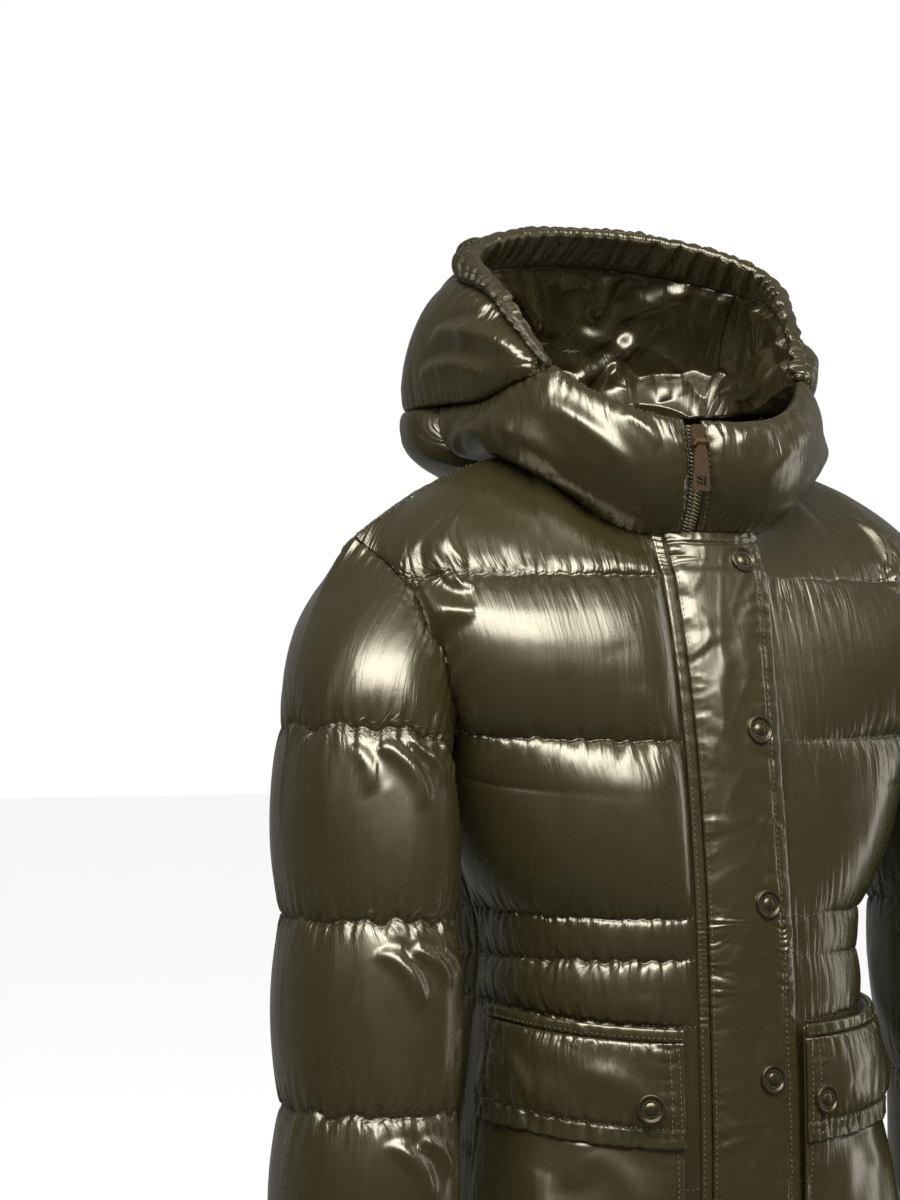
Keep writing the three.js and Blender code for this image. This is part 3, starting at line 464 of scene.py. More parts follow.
def share_at(panel, level, x):
    """The signed share across at which the shell is so far from the centre."""
    level, x = np.broadcast_arrays(np.asarray(level, float), np.asarray(x, float))
    ends = np.zeros(level.shape), np.ones(level.shape)
    return np.sign(x) * search(*ends, lambda share: body_point(panel, share, level)[..., 0] < np.abs(x))


def body_puff(panel, u, level, flat):
    u = np.abs(u)
    row = np.clip(np.floor(level), 0, TOP - 1).astype(int)
    length = seam_value(level, "edge")
    reach = np.where(length > SIDE_SEAM, ARMHOLE_REACH, SIDE_REACH)
    side = lerp(edge_puff(length), 1, swell(1 - u, 0.45)) * swell(1 - u, reach)
    under_hood = clamp(level - YOKE) * clamp(3 - 5 * u)
    return QUILTING[panel][row] * pillow(level - row) * side * flat * (1 - under_hood)


sleeve_at = {name: curve(SLEEVE, "z", name) for name in ("x", "y", "wide", "deep")}


def sleeve_point(angle, height):
    z = np.minimum(height, CAP["z"])
    out, forward = np.cos(angle), np.sin(angle)
    inside = clamp(-out)
    x = sleeve_at["x"](z) + sleeve_at["wide"](z) * out + PRESSED * inside * inside
    y = sleeve_at["y"](z) - sleeve_at["deep"](z) * np.sign(forward) * np.abs(forward) ** 0.9
    fade = clamp((z - SLEEVE_ROWS["top"][1]) / (CAP["z"] - SLEEVE_ROWS["top"][1]))
    return point(x, y, z - CAP["drop"] * fade * ((1 - out) / 2) ** 3)


def armhole_point(angle):
    turn = np.mod(angle, 2 * np.pi) / np.pi
    return np.where((turn <= 1)[..., None], armhole["front"](1 - turn), armhole["back"](turn - 1))


def cap_point(angle, share):
    low, high = sleeve_point(angle, CAP["z"]), armhole_point(angle)
    reach = np.linalg.norm(low - high, axis=-1, keepdims=True)
    aside = np.abs(np.sin(angle))
    leave = unit(point(0.5 + 0.4 * aside, -0.12 * np.sin(angle), 0.5 * aside - 0.8))
    arrive = np.array([0, 0, 1])
    return bezier(high, high + leave * reach * 0.3, low + arrive * reach * 0.35, low, clamp(share))


def all_round(rows):
    """A hood table carried on round the other side."""
    flip = np.array([-1.0 if name == "x" else 1.0 for name in rows])
    whole = np.stack(list(rows.values()), axis=1)
    before, after = whole[1:] * flip, whole[:-1] * flip
    key = list(rows).index("turn")
    before[:, key] = -whole[1:, key]
    after[:, key] = 360 - whole[:-1, key]
    joined = np.concatenate([before, whole, after])
    return {name: joined[:, i] for i, name in enumerate(rows)}


hood_low = space_curve(all_round(HOOD_LOW), "turn")
hood_high = space_curve(all_round(HOOD_HIGH), "turn")
hood_rim = space_curve(all_round(HOOD_RIM), "turn")
band_column = curve(all_round(BAND), "turn", "top")


def band_top(turn):
    return np.minimum(1, band_column(turn))


def hood_point(turn, t):
    turn, t = np.broadcast_arrays(np.asarray(turn, float), np.asarray(t, float))
    s = (t * 3)[..., None]
    return (
        -neck_point(turn) * (s - 1) * (s - 2) * (s - 3) / 6
        + hood_low(turn) * s * (s - 2) * (s - 3) / 2
        - hood_high(turn) * s * (s - 1) * (s - 3) / 2
        + hood_rim(turn) * s * (s - 1) * (s - 2) / 6
    )


def zip_x(t):
    return lerp(ZIP["neck"], ZIP["chin"], t)


def turn_at(x, t):
    """The turn at which a rib's point is so far to the left of the centre."""
    x, t = np.broadcast_arrays(np.asarray(x, float), np.asarray(t, float))
    ends = np.full(t.shape, -30.0), np.full(t.shape, 30.0)
    return search(*ends, lambda turn: hood_point(turn, t)[..., 0] < x)


# ---- Grids, gathers and folds ----

GATHER_SLANT = 0.25


def rng(seed):
    return np.random.default_rng(seed)


def waves(seed, a, b, length, count=10):
    """Smooth noise from about -1 to 1 over two lengths, with hills about so long."""
    draw = rng(seed)
    total = np.zeros(np.shape(a))
    for _ in range(count):
        angle, size = draw.uniform(0, np.pi), length * draw.uniform(0.7, 1.7)
        k = 2 * np.pi / size
        total += np.cos(k * (a * np.cos(angle) + b * np.sin(angle)) + draw.uniform(0, 2 * np.pi))
    return total / math.sqrt(count * 0.9)


def gathers(seed, along, away, height, reach, pitch, slant=GATHER_SLANT):
    """Uneven pinched gathers beside a seam: along and away are lengths along it and from it."""
    draw = rng(seed)
    start, end = float(along.min()) - 60, float(along.max()) + 60
    count = int((end - start) / pitch)
    edges = start + np.cumsum(pitch * draw.uniform(0.55, 1.55, count))
    size = draw.uniform(0.35, 1, count) * np.where(draw.random(count) < 0.18, 1.5, 1)
    far = reach * draw.uniform(0.35, 1.1, count) * np.where(draw.random(count) < 0.16, 2.1, 1)
    lean = slant * waves(seed + 1, along, along * 0, 46, 5)
    moved = along - away * lean
    i = np.clip(np.searchsorted(edges, moved) - 1, 0, count - 2)
    t = clamp((moved - edges[i]) / (edges[i + 1] - edges[i]))
    shape = np.sin(np.pi * t) ** 0.7 - 0.5
    fall = np.exp(-((away / far[i]) ** 1.3)) * (0.6 + 0.4 * clamp(away / 2))
    fade = clamp(1 - away / (4 * reach))
    return height * size[i] * shape * fall * fade


def creases(folds, along, up):
    """The height of listed folds, each a bowed ridge with a dip beside it."""
    total = np.zeros(np.shape(along))
    for a, v, length, angle, width, height in folds:
        c, s = math.cos(math.radians(angle)), math.sin(math.radians(angle))
        t = ((along - a) * c + (up - v) * s) / length
        bow = 0.12 * length * np.sin(np.pi * clamp(t))
        off = (-(along - a) * s + (up - v) * c - bow) / width
        run = clamp(4 * clamp(t) * (1 - clamp(t))) ** 0.6
        total += height * run * (np.exp(-(off**2)) - 0.4 * np.exp(-((off - 1.7) ** 2)))
    return total


def normals_of(points, ring, inside):
    """The way out of a grid of points, away from a spot inside. On a ring the columns close on themselves."""
    if ring:
        across = (np.roll(points, -1, axis=1) - np.roll(points, 1, axis=1)) / 2
    else:
        across = np.gradient(points, axis=1)
    up = np.gradient(points, axis=0)
    out = unit(np.cross(across, up))
    return -out if np.sum(out * (points - inside)) < 0 else out


class Cloth:
    """A grid of points on a piece's shell, with lengths along and up it, the way out, and a height on it."""

    def __init__(self, points, seams, ring=False, inside=(0, 0, -200)):
        self.points, self.seams, self.ring = points, list(seams), ring
        self.out = normals_of(points, ring, np.array(inside, float))
        self.along, self.up = lengths_along(points), lengths_up(points)
        self.from_last = self.along[:, -1:] - self.along
        self.from_side = np.minimum(self.along, self.from_last)
        self.from_top = self.up[-1:] - self.up
        self.height = np.zeros(points.shape[:2])

    def from_row(self, row):
        return np.abs(self.up - self.up[row])

    def sewn(self, reach=15):
        """How near each point is to a seam, from 0 to 1."""
        near = np.min([self.from_row(row) for row in self.seams], axis=0)
        if not self.ring:
            near = np.minimum(near, 5 + self.from_side)
        return np.exp(-near / reach)

    def wander(self, seed, shift, reach=13):
        """Draws the inner seams a little up and down between their gathers."""
        draw = rng(seed)
        columns = self.points.shape[1]
        turn = 2 * np.pi * np.arange(columns) / columns
        held = 1.0 if self.ring else np.sin(turn / 2) ** 0.5
        for row in self.seams[1:-1]:
            waviness = draw.integers(5, 26, 5)
            line = sum(draw.uniform(0.4, 1) * np.sin(k * turn + draw.uniform(0, 6.3)) for k in waviness)
            self.points[..., 2] += line * held * shift * np.exp(-((self.from_row(row) / reach) ** 2))

    def gather_rows(self, seed, height, reach, pitch):
        for i, row in enumerate(self.seams):
            away = self.up - self.up[row]
            near = self.along, np.abs(away)
            above = gathers(seed + 10 * i, *near, height, reach, pitch)
            below = gathers(seed + 10 * i, *near, height * 0.9, reach * 0.8, pitch, -GATHER_SLANT)
            self.height += np.where(away >= 0, above, below)

    def gather_sides(self, seed, height, reach, pitch):
        self.height += gathers(seed, self.up, self.along, height, reach, pitch)
        self.height += gathers(seed + 5, self.up, self.from_last, height, reach, pitch)

    def outer(self):
        return self.points + self.out * self.height[..., None]


def upsample(steps_out, steps_in):
    """Matrix of smooth (cubic) interpolation from one even run of values to a finer one."""
    spots = np.linspace(0, steps_in, steps_out + 1)
    base = np.clip(np.floor(spots).astype(int), 0, steps_in - 1)
    t = spots - base
    weights = [
        -0.5 * t + t**2 - 0.5 * t**3,
        1 - 2.5 * t**2 + 1.5 * t**3,
        0.5 * t + 2 * t**2 - 1.5 * t**3,
        -0.5 * t**2 + 0.5 * t**3,
    ]
    matrix = np.zeros((steps_out + 1, steps_in + 1))
    for shift, weight in zip((-1, 0, 1, 2), weights):
        np.add.at(matrix, (np.arange(steps_out + 1), np.clip(base + shift, 0, steps_in)), weight)
    return matrix


def deselect():
    for chosen in list(bpy.context.selected_objects):
        chosen.select_set(False)


SIMULATION = dict(
    vertex_group_mass="seams", quality=4, mass=0.15, tension_stiffness=12, compression_stiffness=12,
    shear_stiffness=4, bending_stiffness=0.06, use_pressure=True,
)


def simulated(start, pinned, faces):
    """How a grid of points moves, in millimetres, when cloth simulation fills the padding under it."""
    scene = bpy.context.scene
    mesh = bpy.data.meshes.new("padding")
    mesh.from_pydata((start.reshape(-1, 3) * MM).tolist(), [], faces.tolist())
    body = bpy.data.objects.new("padding", mesh)
    scene.collection.objects.link(body)
    group = body.vertex_groups.new(name="seams")
    group.add(np.nonzero(pinned.reshape(-1))[0].tolist(), 1.0, "REPLACE")
    cloth = body.modifiers.new("Cloth", "CLOTH")
    for name, value in SIMULATION.items():
        setattr(cloth.settings, name, value)
    cloth.settings.uniform_pressure_force = sizes().pressure
    cloth.settings.shrink_min = -sizes().slack
    cloth.settings.effector_weights.gravity = 0
    cloth.collision_settings.use_collision = False
    cloth.point_cache.frame_start, cloth.point_cache.frame_end = 1, SIM_FRAMES
    for number in range(1, SIM_FRAMES + 1):
        scene.frame_set(number)
    found = body.evaluated_get(bpy.context.evaluated_depsgraph_get()).to_mesh()
    moved = np.empty(len(found.vertices) * 3)
    found.vertices.foreach_get("co", moved)
    scene.frame_set(1)
    bpy.data.objects.remove(body)
    return moved.reshape(start.shape) / MM - start


def inflate(cloth, seed, step):
    """What filling a piece's padding moves it, simulated on a coarser grid whose seams stay put."""
    seams, wide = cloth.seams, cloth.points.shape[1]
    rows = [row for a, b in zip(seams[:-1], seams[1:]) for row in range(a, b, step)] + [seams[-1]]
    columns = list(range(0, wide, step)) if cloth.ring else list(range(0, wide - 1, step)) + [wide - 1]
    coarse = np.ix_(rows, columns)
    start = cloth.outer()[coarse]
    pinned = np.zeros(start.shape[:2], bool)
    pinned[[rows.index(row) for row in seams]] = True
    if not cloth.ring:
        pinned[:, [0, -1]] = True
    uneven = waves(seed, cloth.along[coarse], cloth.up[coarse], 60) * 0.3 * ~pinned
    start = start + cloth.out[coarse] * uneven[..., None]
    faces = quads(np.arange(pinned.size).reshape(pinned.shape), cloth.ring)
    flat = start.reshape(-1, 3)
    a, b, c = (flat[faces[:, i]] for i in (0, 1, 3))
    if np.sum(np.cross(b - a, c - a) * cloth.out[coarse].reshape(-1, 3)[faces[:, 0]]) < 0:
        faces = faces[:, ::-1]
    moved = simulated(start, pinned, faces)
    size = np.linalg.norm(moved, axis=-1, keepdims=True)
    moved = moved * np.minimum(1, sizes().settle / np.maximum(size, 1e-6))
    moved = np.where(pinned[..., None], 0, moved)
    blocks, at_row = [], 0
    for low, high in zip(seams[:-1], seams[1:]):
        count = (high - low) // step
        part = np.tensordot(upsample(high - low, count), moved[at_row : at_row + count + 1], axes=(1, 0))
        blocks.append(part if high == seams[-1] else part[:-1])
        at_row += count
    tall = np.concatenate(blocks)
    if cloth.ring:
        tall = np.concatenate([tall, tall[:, :1]], axis=1)
    finer = upsample(wide, len(columns)) if cloth.ring else upsample(wide - 1, len(columns) - 1)
    return np.tensordot(finer, tall, axes=(1, 1)).transpose(1, 0, 2)[:, :wide]


# ---- Meshes ----

PLACED = {}  # a finished piece's outer points, way out and seam rows, for what is sewn on it
STRAP_SEWN = 0.4  # how near a seam counts as being, all over a strap


def pulled_in(grid, ring):
    """Leaves the seam gap round a piece's edges."""

    def pull(edge, nearby):
        size = np.maximum(np.linalg.norm(nearby - edge, axis=-1, keepdims=True), 1e-6)
        return edge + (nearby - edge) * np.minimum(0.45, SEAM_GAP / size)

    grid = grid.copy()
    grid[0], grid[-1] = pull(grid[0], grid[1]), pull(grid[-1], grid[-2])
    if not ring:
        grid[:, 0], grid[:, -1] = pull(grid[:, 0], grid[:, 1]), pull(grid[:, -1], grid[:, -2])
    return grid


def quads(index, ring):
    """Faces of a grid of point numbers. A ring closes on itself."""
    nxt = np.roll(index, -1, axis=1) if ring else index[:, 1:]
    here = index if ring else index[:, :-1]
    return np.stack([here[:-1], nxt[:-1], nxt[1:], here[1:]], axis=-1).reshape(-1, 4)


def wall_mesh(name, outer, inner, look, ring=False, step=4, sewn=None):
    """A closed wall that looks outward. Its inside has one row and column for every few of its outside."""
    across = np.roll(outer, -1, axis=1)[:-1, :-1] - outer[:-1, :-1]
    up = outer[1:, :-1] - outer[:-1, :-1]
    inward = np.sum(np.cross(across, up) * (outer - inner)[:-1, :-1]) < 0
    outer, inner = pulled_in(outer, ring), pulled_in(inner, ring)
    rows = np.arange(0, len(outer), step)
    columns = np.arange(0, outer.shape[1], step)
    coarse = inner[np.ix_(rows, columns)]
    out_index = np.arange(outer[..., 0].size).reshape(outer.shape[:2])
    in_index = outer[..., 0].size + np.arange(coarse[..., 0].size).reshape(coarse.shape[:2])
    faces = quads(out_index, ring).tolist() + quads(in_index, ring)[:, ::-1].tolist()

    def rim(fine, rough, closed, turned):
        count = len(rough) if closed else len(rough) - 1
        for k in range(count):
            run = [fine[(k * step + i) % len(fine)] for i in range(step + 1)]
            face = run + [rough[(k + 1) % len(rough)], rough[k]]
            faces.append(face[::-1] if turned else face)

    rim(out_index[0].tolist(), in_index[0].tolist(), ring, True)
    rim(out_index[-1].tolist(), in_index[-1].tolist(), ring, False)
    if not ring:
        rim(out_index[:, 0].tolist(), in_index[:, 0].tolist(), False, False)
        rim(out_index[:, -1].tolist(), in_index[:, -1].tolist(), False, True)
    verts = np.concatenate([outer.reshape(-1, 3), coarse.reshape(-1, 3)])
    flat = np.stack([lengths_along(outer), lengths_up(outer)], axis=-1) * MM
    uv = np.concatenate([flat.reshape(-1, 2), flat[np.ix_(rows, columns)].reshape(-1, 2)])
    if inward:
        faces = [face[::-1] for face in faces]
    piece = new_piece(name, verts, faces, look, uv)
    near = np.full(outer.shape[:2], STRAP_SEWN) if sewn is None else sewn
    seam = piece.data.attributes.new("seam", "FLOAT", "POINT")
    near = np.append(near.ravel(), near[np.ix_(rows, columns)].ravel())
    seam.data.foreach_set("value", near.astype(np.float32))
    return piece


def new_piece(name, verts, faces, look, uv=None):
    """A smooth-shaded piece from points in millimetres."""
    mesh = bpy.data.meshes.new(name)
    mesh.from_pydata((np.asarray(verts) * MM).tolist(), [], faces)
    mesh.shade_smooth()
    if uv is not None:
        layer = mesh.uv_layers.new(name="cut")
        corner = np.empty(len(mesh.loops), int)
        mesh.loops.foreach_get("vertex_index", corner)
        layer.data.foreach_set("uv", np.asarray(uv)[corner].astype(np.float32).ravel())
    mesh.materials.append(material(look))
    piece = bpy.data.objects.new(f"{name}_piece", mesh)
    bpy.context.scene.collection.objects.link(piece)
    return piece


def signed_volume(verts, faces):
    total = 0.0
    for i in range(1, faces.shape[1] - 1):
        total += np.sum(verts[faces[:, 0]] * np.cross(verts[faces[:, i]], verts[faces[:, i + 1]]))
    return total


def worn(piece, replaces=None):
    """Parents a piece to the body it rides on and hides the node it replaces."""
    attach(piece, CLOTH_BODY)
    if replaces:
        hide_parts(replaces)
    return piece


def sewn_piece(name, cloth, outer, inner, look="nylon", step=4, fill=0.7):
    """A piece of cloth that replaces its node. Right ones are laid as left ones and mirrored here."""
    if name.endswith("_right"):
        outer, inner, cloth.out = mirrored(outer), mirrored(inner), mirrored(cloth.out)
    PLACED[name] = (outer, cloth.out, cloth.seams)
    padded = look == "nylon"
    piece = wall_mesh(name, outer, inner, look, cloth.ring, step, cloth.sewn() if padded else None)
    worn(piece, name)
    return piece


def layer(name, cloth, gap, **more):
    """A piece of cloth whose inside keeps one distance from its shell."""
    return sewn_piece(name, cloth, cloth.outer(), cloth.points + cloth.out * gap, **more)


# ---- Finishes ----


def node(tree, kind, **values):
    """A shader node. Values named after sockets are set on them, others on the node."""
    made = tree.nodes.new(kind)
    for name, value in values.items():
        label = name.replace("_", " ")
        if hasattr(made, name):
            setattr(made, name, value)
        else:
            made.inputs[label].default_value = value
    return made


def join(tree, *links):
    for source, out_name, target, in_name in links:
        tree.links.new(source.outputs[out_name], target.inputs[in_name])


def group_of(name, inputs, outputs):
    """A new shader node group with its two end nodes. Inputs are a name, kind and value or None."""
    tree = bpy.data.node_groups.new(name, "ShaderNodeTree")
    for label, kind, value in inputs:
        socket = tree.interface.new_socket(name=label, in_out="INPUT", socket_type=kind)
        if value is not None:
            socket.default_value = value
    for label in outputs:
        tree.interface.new_socket(name=label, in_out="OUTPUT", socket_type="NodeSocketFloat")
    return tree, tree.nodes.new("NodeGroupInput"), tree.nodes.new("NodeGroupOutput")


CRINKLE_SIZE = 260.0


def weave_group():
    """Weave, crinkle and drawn pleats of lacquered nylon as heights, and its uneven shade and wear."""
    found = bpy.data.node_groups.get("Nylon surface")
    if found:
        return found
    inputs = (
        ("Cut", "NodeSocketVector", None),
        ("Place", "NodeSocketVector", None),
        ("Crinkle size", "NodeSocketFloat", CRINKLE_SIZE),
    )
    tree, start, end = group_of("Nylon surface", inputs, ("Weave", "Crinkle", "Pleats", "Shade", "Wear"))
    warp = node(tree, "ShaderNodeTexWave", bands_direction="X", Scale=700.0)
    weft = node(tree, "ShaderNodeTexWave", bands_direction="Y", Scale=700.0)
    both = node(tree, "ShaderNodeMath", operation="MULTIPLY")
    fine = node(tree, "ShaderNodeTexNoise", Detail=4.0, Roughness=0.55)
    drawn = node(tree, "ShaderNodeMapping", vector_type="POINT", Scale=(230, 22, 1))
    pleats = node(tree, "ShaderNodeTexNoise", Scale=1.0, Detail=3.0, Roughness=0.5, Distortion=0.4)
    broad = node(tree, "ShaderNodeTexNoise", Scale=14.0, Detail=3.0)
    wear = node(tree, "ShaderNodeTexNoise", Scale=46.0, Detail=5.0, Roughness=0.65)
    join(
        tree,
        (start, "Cut", warp, "Vector"),
        (start, "Cut", weft, "Vector"),
        (warp, "Fac", both, 0),
        (weft, "Fac", both, 1),
        (both, 0, end, "Weave"),
        (start, "Place", fine, "Vector"),
        (start, "Crinkle size", fine, "Scale"),
        (fine, "Fac", end, "Crinkle"),
        (start, "Cut", drawn, "Vector"),
        (drawn, "Vector", pleats, "Vector"),
        (pleats, "Fac", end, "Pleats"),
        (start, "Place", broad, "Vector"),
        (broad, "Fac", end, "Shade"),
        (start, "Place", wear, "Vector"),
        (wear, "Fac", end, "Wear"),
    )
    return tree


def roughened(tree, shader, source, socket, low, high):
    """Takes a 0-1 value to a narrow range of roughness."""
    made = node(tree, "ShaderNodeMapRange", From_Min=0.3, From_Max=0.7, To_Min=low, To_Max=high)
    join(tree, (source, socket, made, "Value"), (made, "Result", shader, "Roughness"))


def toned(tree, shader, source, socket, colour, spread):
    """Lets the colour vary a little, darker and lighter, with a 0-1 value."""
    made = node(tree, "ShaderNodeMix", data_type="RGBA")
    made.inputs[6].default_value = (*[c * (1 - spread) for c in colour], 1)
    made.inputs[7].default_value = (*[min(1, c * (1 + spread)) for c in colour], 1)
    join(tree, (source, socket, made, 0), (made, 2, shader, "Base Color"))


def start_material(name):
    made = bpy.data.materials.new(name)
    made.use_nodes = True
    tree = made.node_tree
    return made, tree, tree.nodes["Principled BSDF"], tree.nodes.new("ShaderNodeTexCoord")


def cloth_material(name, colour, roughness, crinkle, crinkle_size, pleats):
    """Lacquered nylon: a fine weave drawn into faint pleats, under a satin, slightly crinkled face."""
    made, tree, shader, place = start_material(name)
    surface = node(tree, "ShaderNodeGroup", node_tree=weave_group())
    surface.inputs["Crinkle size"].default_value = crinkle_size
    join(tree, (place, "UV", surface, "Cut"), (place, "Object", surface, "Place"))
    toned(tree, shader, surface, "Shade", colour, 0.1)
    roughened(tree, shader, surface, "Wear", roughness * 0.9, roughness * 1.12)
    sewn = node(tree, "ShaderNodeAttribute", attribute_name="seam")
    depth = node(tree, "ShaderNodeMath", operation="MULTIPLY_ADD")
    depth.inputs[1].default_value = 1.0
    depth.inputs[2].default_value = 0.1
    pleated = node(tree, "ShaderNodeMath", operation="MULTIPLY")
    drawn = node(tree, "ShaderNodeBump", Strength=pleats, Distance=0.004)
    folds = node(tree, "ShaderNodeBump", Strength=crinkle, Distance=0.0011)
    threads = node(tree, "ShaderNodeBump", Strength=0.05, Distance=0.0001)
    join(
        tree,
        (sewn, "Fac", depth, 0),
        (surface, "Pleats", pleated, 0),
        (depth, 0, pleated, 1),
        (pleated, 0, drawn, "Height"),
        (surface, "Crinkle", folds, "Height"),
        (surface, "Weave", threads, "Height"),
        (drawn, "Normal", folds, "Normal"),
        (folds, "Normal", threads, "Normal"),
        (threads, "Normal", shader, "Normal"),
    )
    shader.inputs["Specular IOR Level"].default_value = 1.0
    shader.inputs["Specular Tint"].default_value = (1.0, 0.92, 0.7, 1)
    shader.inputs["Coat Weight"].default_value = 0.2
    shader.inputs["Coat Roughness"].default_value = 0.22
    return made


def metal_material(name, colour, roughness, metallic):
    """Polished or lacquered metal with fine scratches and a slightly uneven tone."""
    made, tree, shader, place = start_material(name)
    long = node(tree, "ShaderNodeMapping", vector_type="POINT", Scale=(540.0, 540.0, 90.0))
    grain = node(tree, "ShaderNodeTexNoise", Scale=8.0, Detail=4.0)
    cloud = node(tree, "ShaderNodeTexNoise", Scale=240.0, Detail=2.0)
    fine = node(tree, "ShaderNodeBump", Strength=0.12, Distance=0.00008)
    join(
        tree,
        (place, "Object", long, "Vector"),
        (long, "Vector", grain, "Vector"),
        (place, "Object", cloud, "Vector"),
        (grain, "Fac", fine, "Height"),
        (fine, "Normal", shader, "Normal"),
    )
    toned(tree, shader, cloud, "Fac", colour, 0.12)
    roughened(tree, shader, grain, "Fac", roughness * 0.8, roughness * 1.3)
    shader.inputs["Metallic"].default_value = metallic
    return made


def tape_material(name, colour, roughness):
    """Matt woven tape or spun thread."""
    made, tree, shader, place = start_material(name)
    ribs = node(tree, "ShaderNodeTexWave", bands_direction="DIAGONAL", Scale=420.0, Distortion=1.5)
    cloud = node(tree, "ShaderNodeTexNoise", Scale=120.0, Detail=3.0)
    raised = node(tree, "ShaderNodeBump", Strength=0.4, Distance=0.0002)
    join(
        tree,
        (place, "Object", ribs, "Vector"),
        (place, "Object", cloud, "Vector"),
        (ribs, "Fac", raised, "Height"),
        (raised, "Normal", shader, "Normal"),
    )
    toned(tree, shader, cloud, "Fac", colour, 0.2)
    roughened(tree, shader, ribs, "Fac", roughness * 0.9, roughness * 1.1)
    return made


def floor_material():
    made, tree, shader, place = start_material("pale_floor")
    cloud = node(tree, "ShaderNodeTexNoise", Scale=0.6, Detail=2.0)
    join(tree, (place, "Object", cloud, "Vector"))
    toned(tree, shader, cloud, "Fac", tuple(bpy.context.scene.parka_colours.floor), 0.004)
    shader.inputs["Roughness"].default_value = 0.9
    return made


FINISHES = {}


def material(look):
    """The finish of that name, made the first time it is asked for."""
    if look not in FINISHES:
        FINISHES[look] = make_finish(look)
    return FINISHES[look]


def make_finish(look):
    colours = bpy.context.scene.parka_colours
    nylon, gloss = tuple(colours.nylon), colours.gloss
    make, *values = {
        "nylon": (cloth_material, "shell_nylon", nylon, gloss, 0.03, CRINKLE_SIZE, 0.45),
        "strap": (cloth_material, "strap_nylon", nylon, gloss, 0.06, 150.0, 0.07),
        "snap_metal": (metal_material, "lacquered_snap", tuple(colours.snap_metal), 0.3, 0.9),
        "zip_metal": (metal_material, "rose_zip_metal", tuple(colours.zip_metal), 0.28, 0.9),
        "zip_teeth": (metal_material, "moulded_teeth", tuple(colours.zip_teeth), 0.38, 0.35),
        "zip_tape": (tape_material, "woven_tape", tuple(c * 0.8 for c in nylon), 0.7),
        "thread": (tape_material, "spun_thread", tuple(colours.thread), 0.45),
    }[look]
    return make(*values)


# ---- Padded pieces ----


def sizes():
    return bpy.context.scene.parka_sizes


def crowded(count):
    """Shares from 0 to 1 that lie closer together toward both ends."""
    t = np.linspace(0, 1, count + 1)
    return 0.45 * t + 0.275 * (1 - np.cos(np.pi * t))


def body_levels():
    """Levels of a body panel's rows, and the rows that are seams."""
    rows = QUILTING["rows"].astype(int)
    levels = np.concatenate([i + crowded(count)[:-1] for i, count in enumerate(rows[:-1])])
    return np.append(levels, TOP), np.concatenate([[0], np.cumsum(rows[:-1])])


def even_shares(panel, count, level=2.5):
    """Shares from centre to edge that lie evenly along a row."""
    u = np.linspace(0, 1, 600)
    run = run_of(body_point(panel, u, level))
    return np.interp(np.linspace(0, run[-1], count + 1), run, u)


def toward_middle(points):
    """The way a body wall's thickness runs, alike on both sides of each seam."""
    x, y, z = points[..., 0], points[..., 1], points[..., 2]
    return unit(point(x * 0.45, y, np.maximum(0, z - SHOULDER_ROOT)))


def padding(cloth, base, seed):
    cloth.height += base * sizes().puff
    return inflate(cloth, seed, SIM_STEP)


def meeting(points, *edges):
    """Lets side edges out over the gap of their seam, so that no light comes through it."""
    for edge, beside in edges:
        points[:, edge] += unit(points[:, edge] - points[:, beside]) * (SEAM_GAP + 0.15)
    return points


def front_cloth(side):
    """A front's shell, laid as a left one."""
    start = CENTRE_GAP + (ZIP["neck"] if side == "left" else -ZIP["neck"])
    levels, seams = body_levels()
    first = share_at("front", levels, start)[:, None]
    across = first + (1 - first) * even_shares("front", FRONT_COLUMNS)
    cloth = Cloth(meeting(body_point("front", across, levels[:, None]), (-1, -2)), seams)
    z = seam_value(levels, "centre")
    flat = placket_edge(z) + FLAT if side == "left" else np.full(len(levels), FLAT - EDGE_STRIP["right"])
    away = cloth.points[..., 0] - flat[:, None]
    free = clamp(away / 95) ** 1.15 if side == "left" else swell(away, 32)
    return cloth, body_puff("front", across, levels[:, None], free), free


def make_front(side):
    name = f"front_{side}"
    cloth, base, free = front_cloth(side)
    moved = padding(cloth, base, SEEDS[name])
    dressed(cloth, SEEDS[name], free, FRONT_FOLDS)
    inner = cloth.points - toward_middle(cloth.points) * WALL
    sewn_piece(name, cloth, cloth.outer() + moved * free[..., None], inner)


def dressed(cloth, seed, free, folds, lively=1.0, wander=0.45):
    """Wanders the seams, then adds gathers at them, listed folds and unevenness where a piece is free."""
    s = sizes()
    plain = cloth.height.copy()
    cloth.wander(seed + 700, wander)
    cloth.gather_rows(seed, s.gather_height * lively, s.gather_reach * lively, s.gather_pitch)
    cloth.gather_rows(seed + 400, s.gather_height * 0.5, s.gather_reach * 2.8, s.gather_pitch * 2.6)
    cloth.height += waves(seed + 1, cloth.along, cloth.up, 90) * 0.5
    cloth.height += creases(folds, cloth.along, cloth.up)
    cloth.height = plain + (cloth.height - plain) * free


def make_back():
    levels, seams = body_levels()
    half = even_shares("back", BACK_HALF_COLUMNS)
    across = np.concatenate([-half[:0:-1], half])[None, :]
    cloth = Cloth(meeting(body_point("back", across, levels[:, None]), (0, 1), (-1, -2)), seams)
    moved = padding(cloth, body_puff("back", across, levels[:, None], 1), SEEDS["back"])
    dressed(cloth, SEEDS["back"], 1, BACK_FOLDS)
    inner = cloth.points - toward_middle(cloth.points) * WALL
    sewn_piece("back", cloth, cloth.outer() + moved, inner)


ROUND = np.linspace(0, 2 * np.pi, SLEEVE_COLUMNS + 1)[None, :-1]
UNDERSIDE = clamp(-np.cos(ROUND)) ** 2


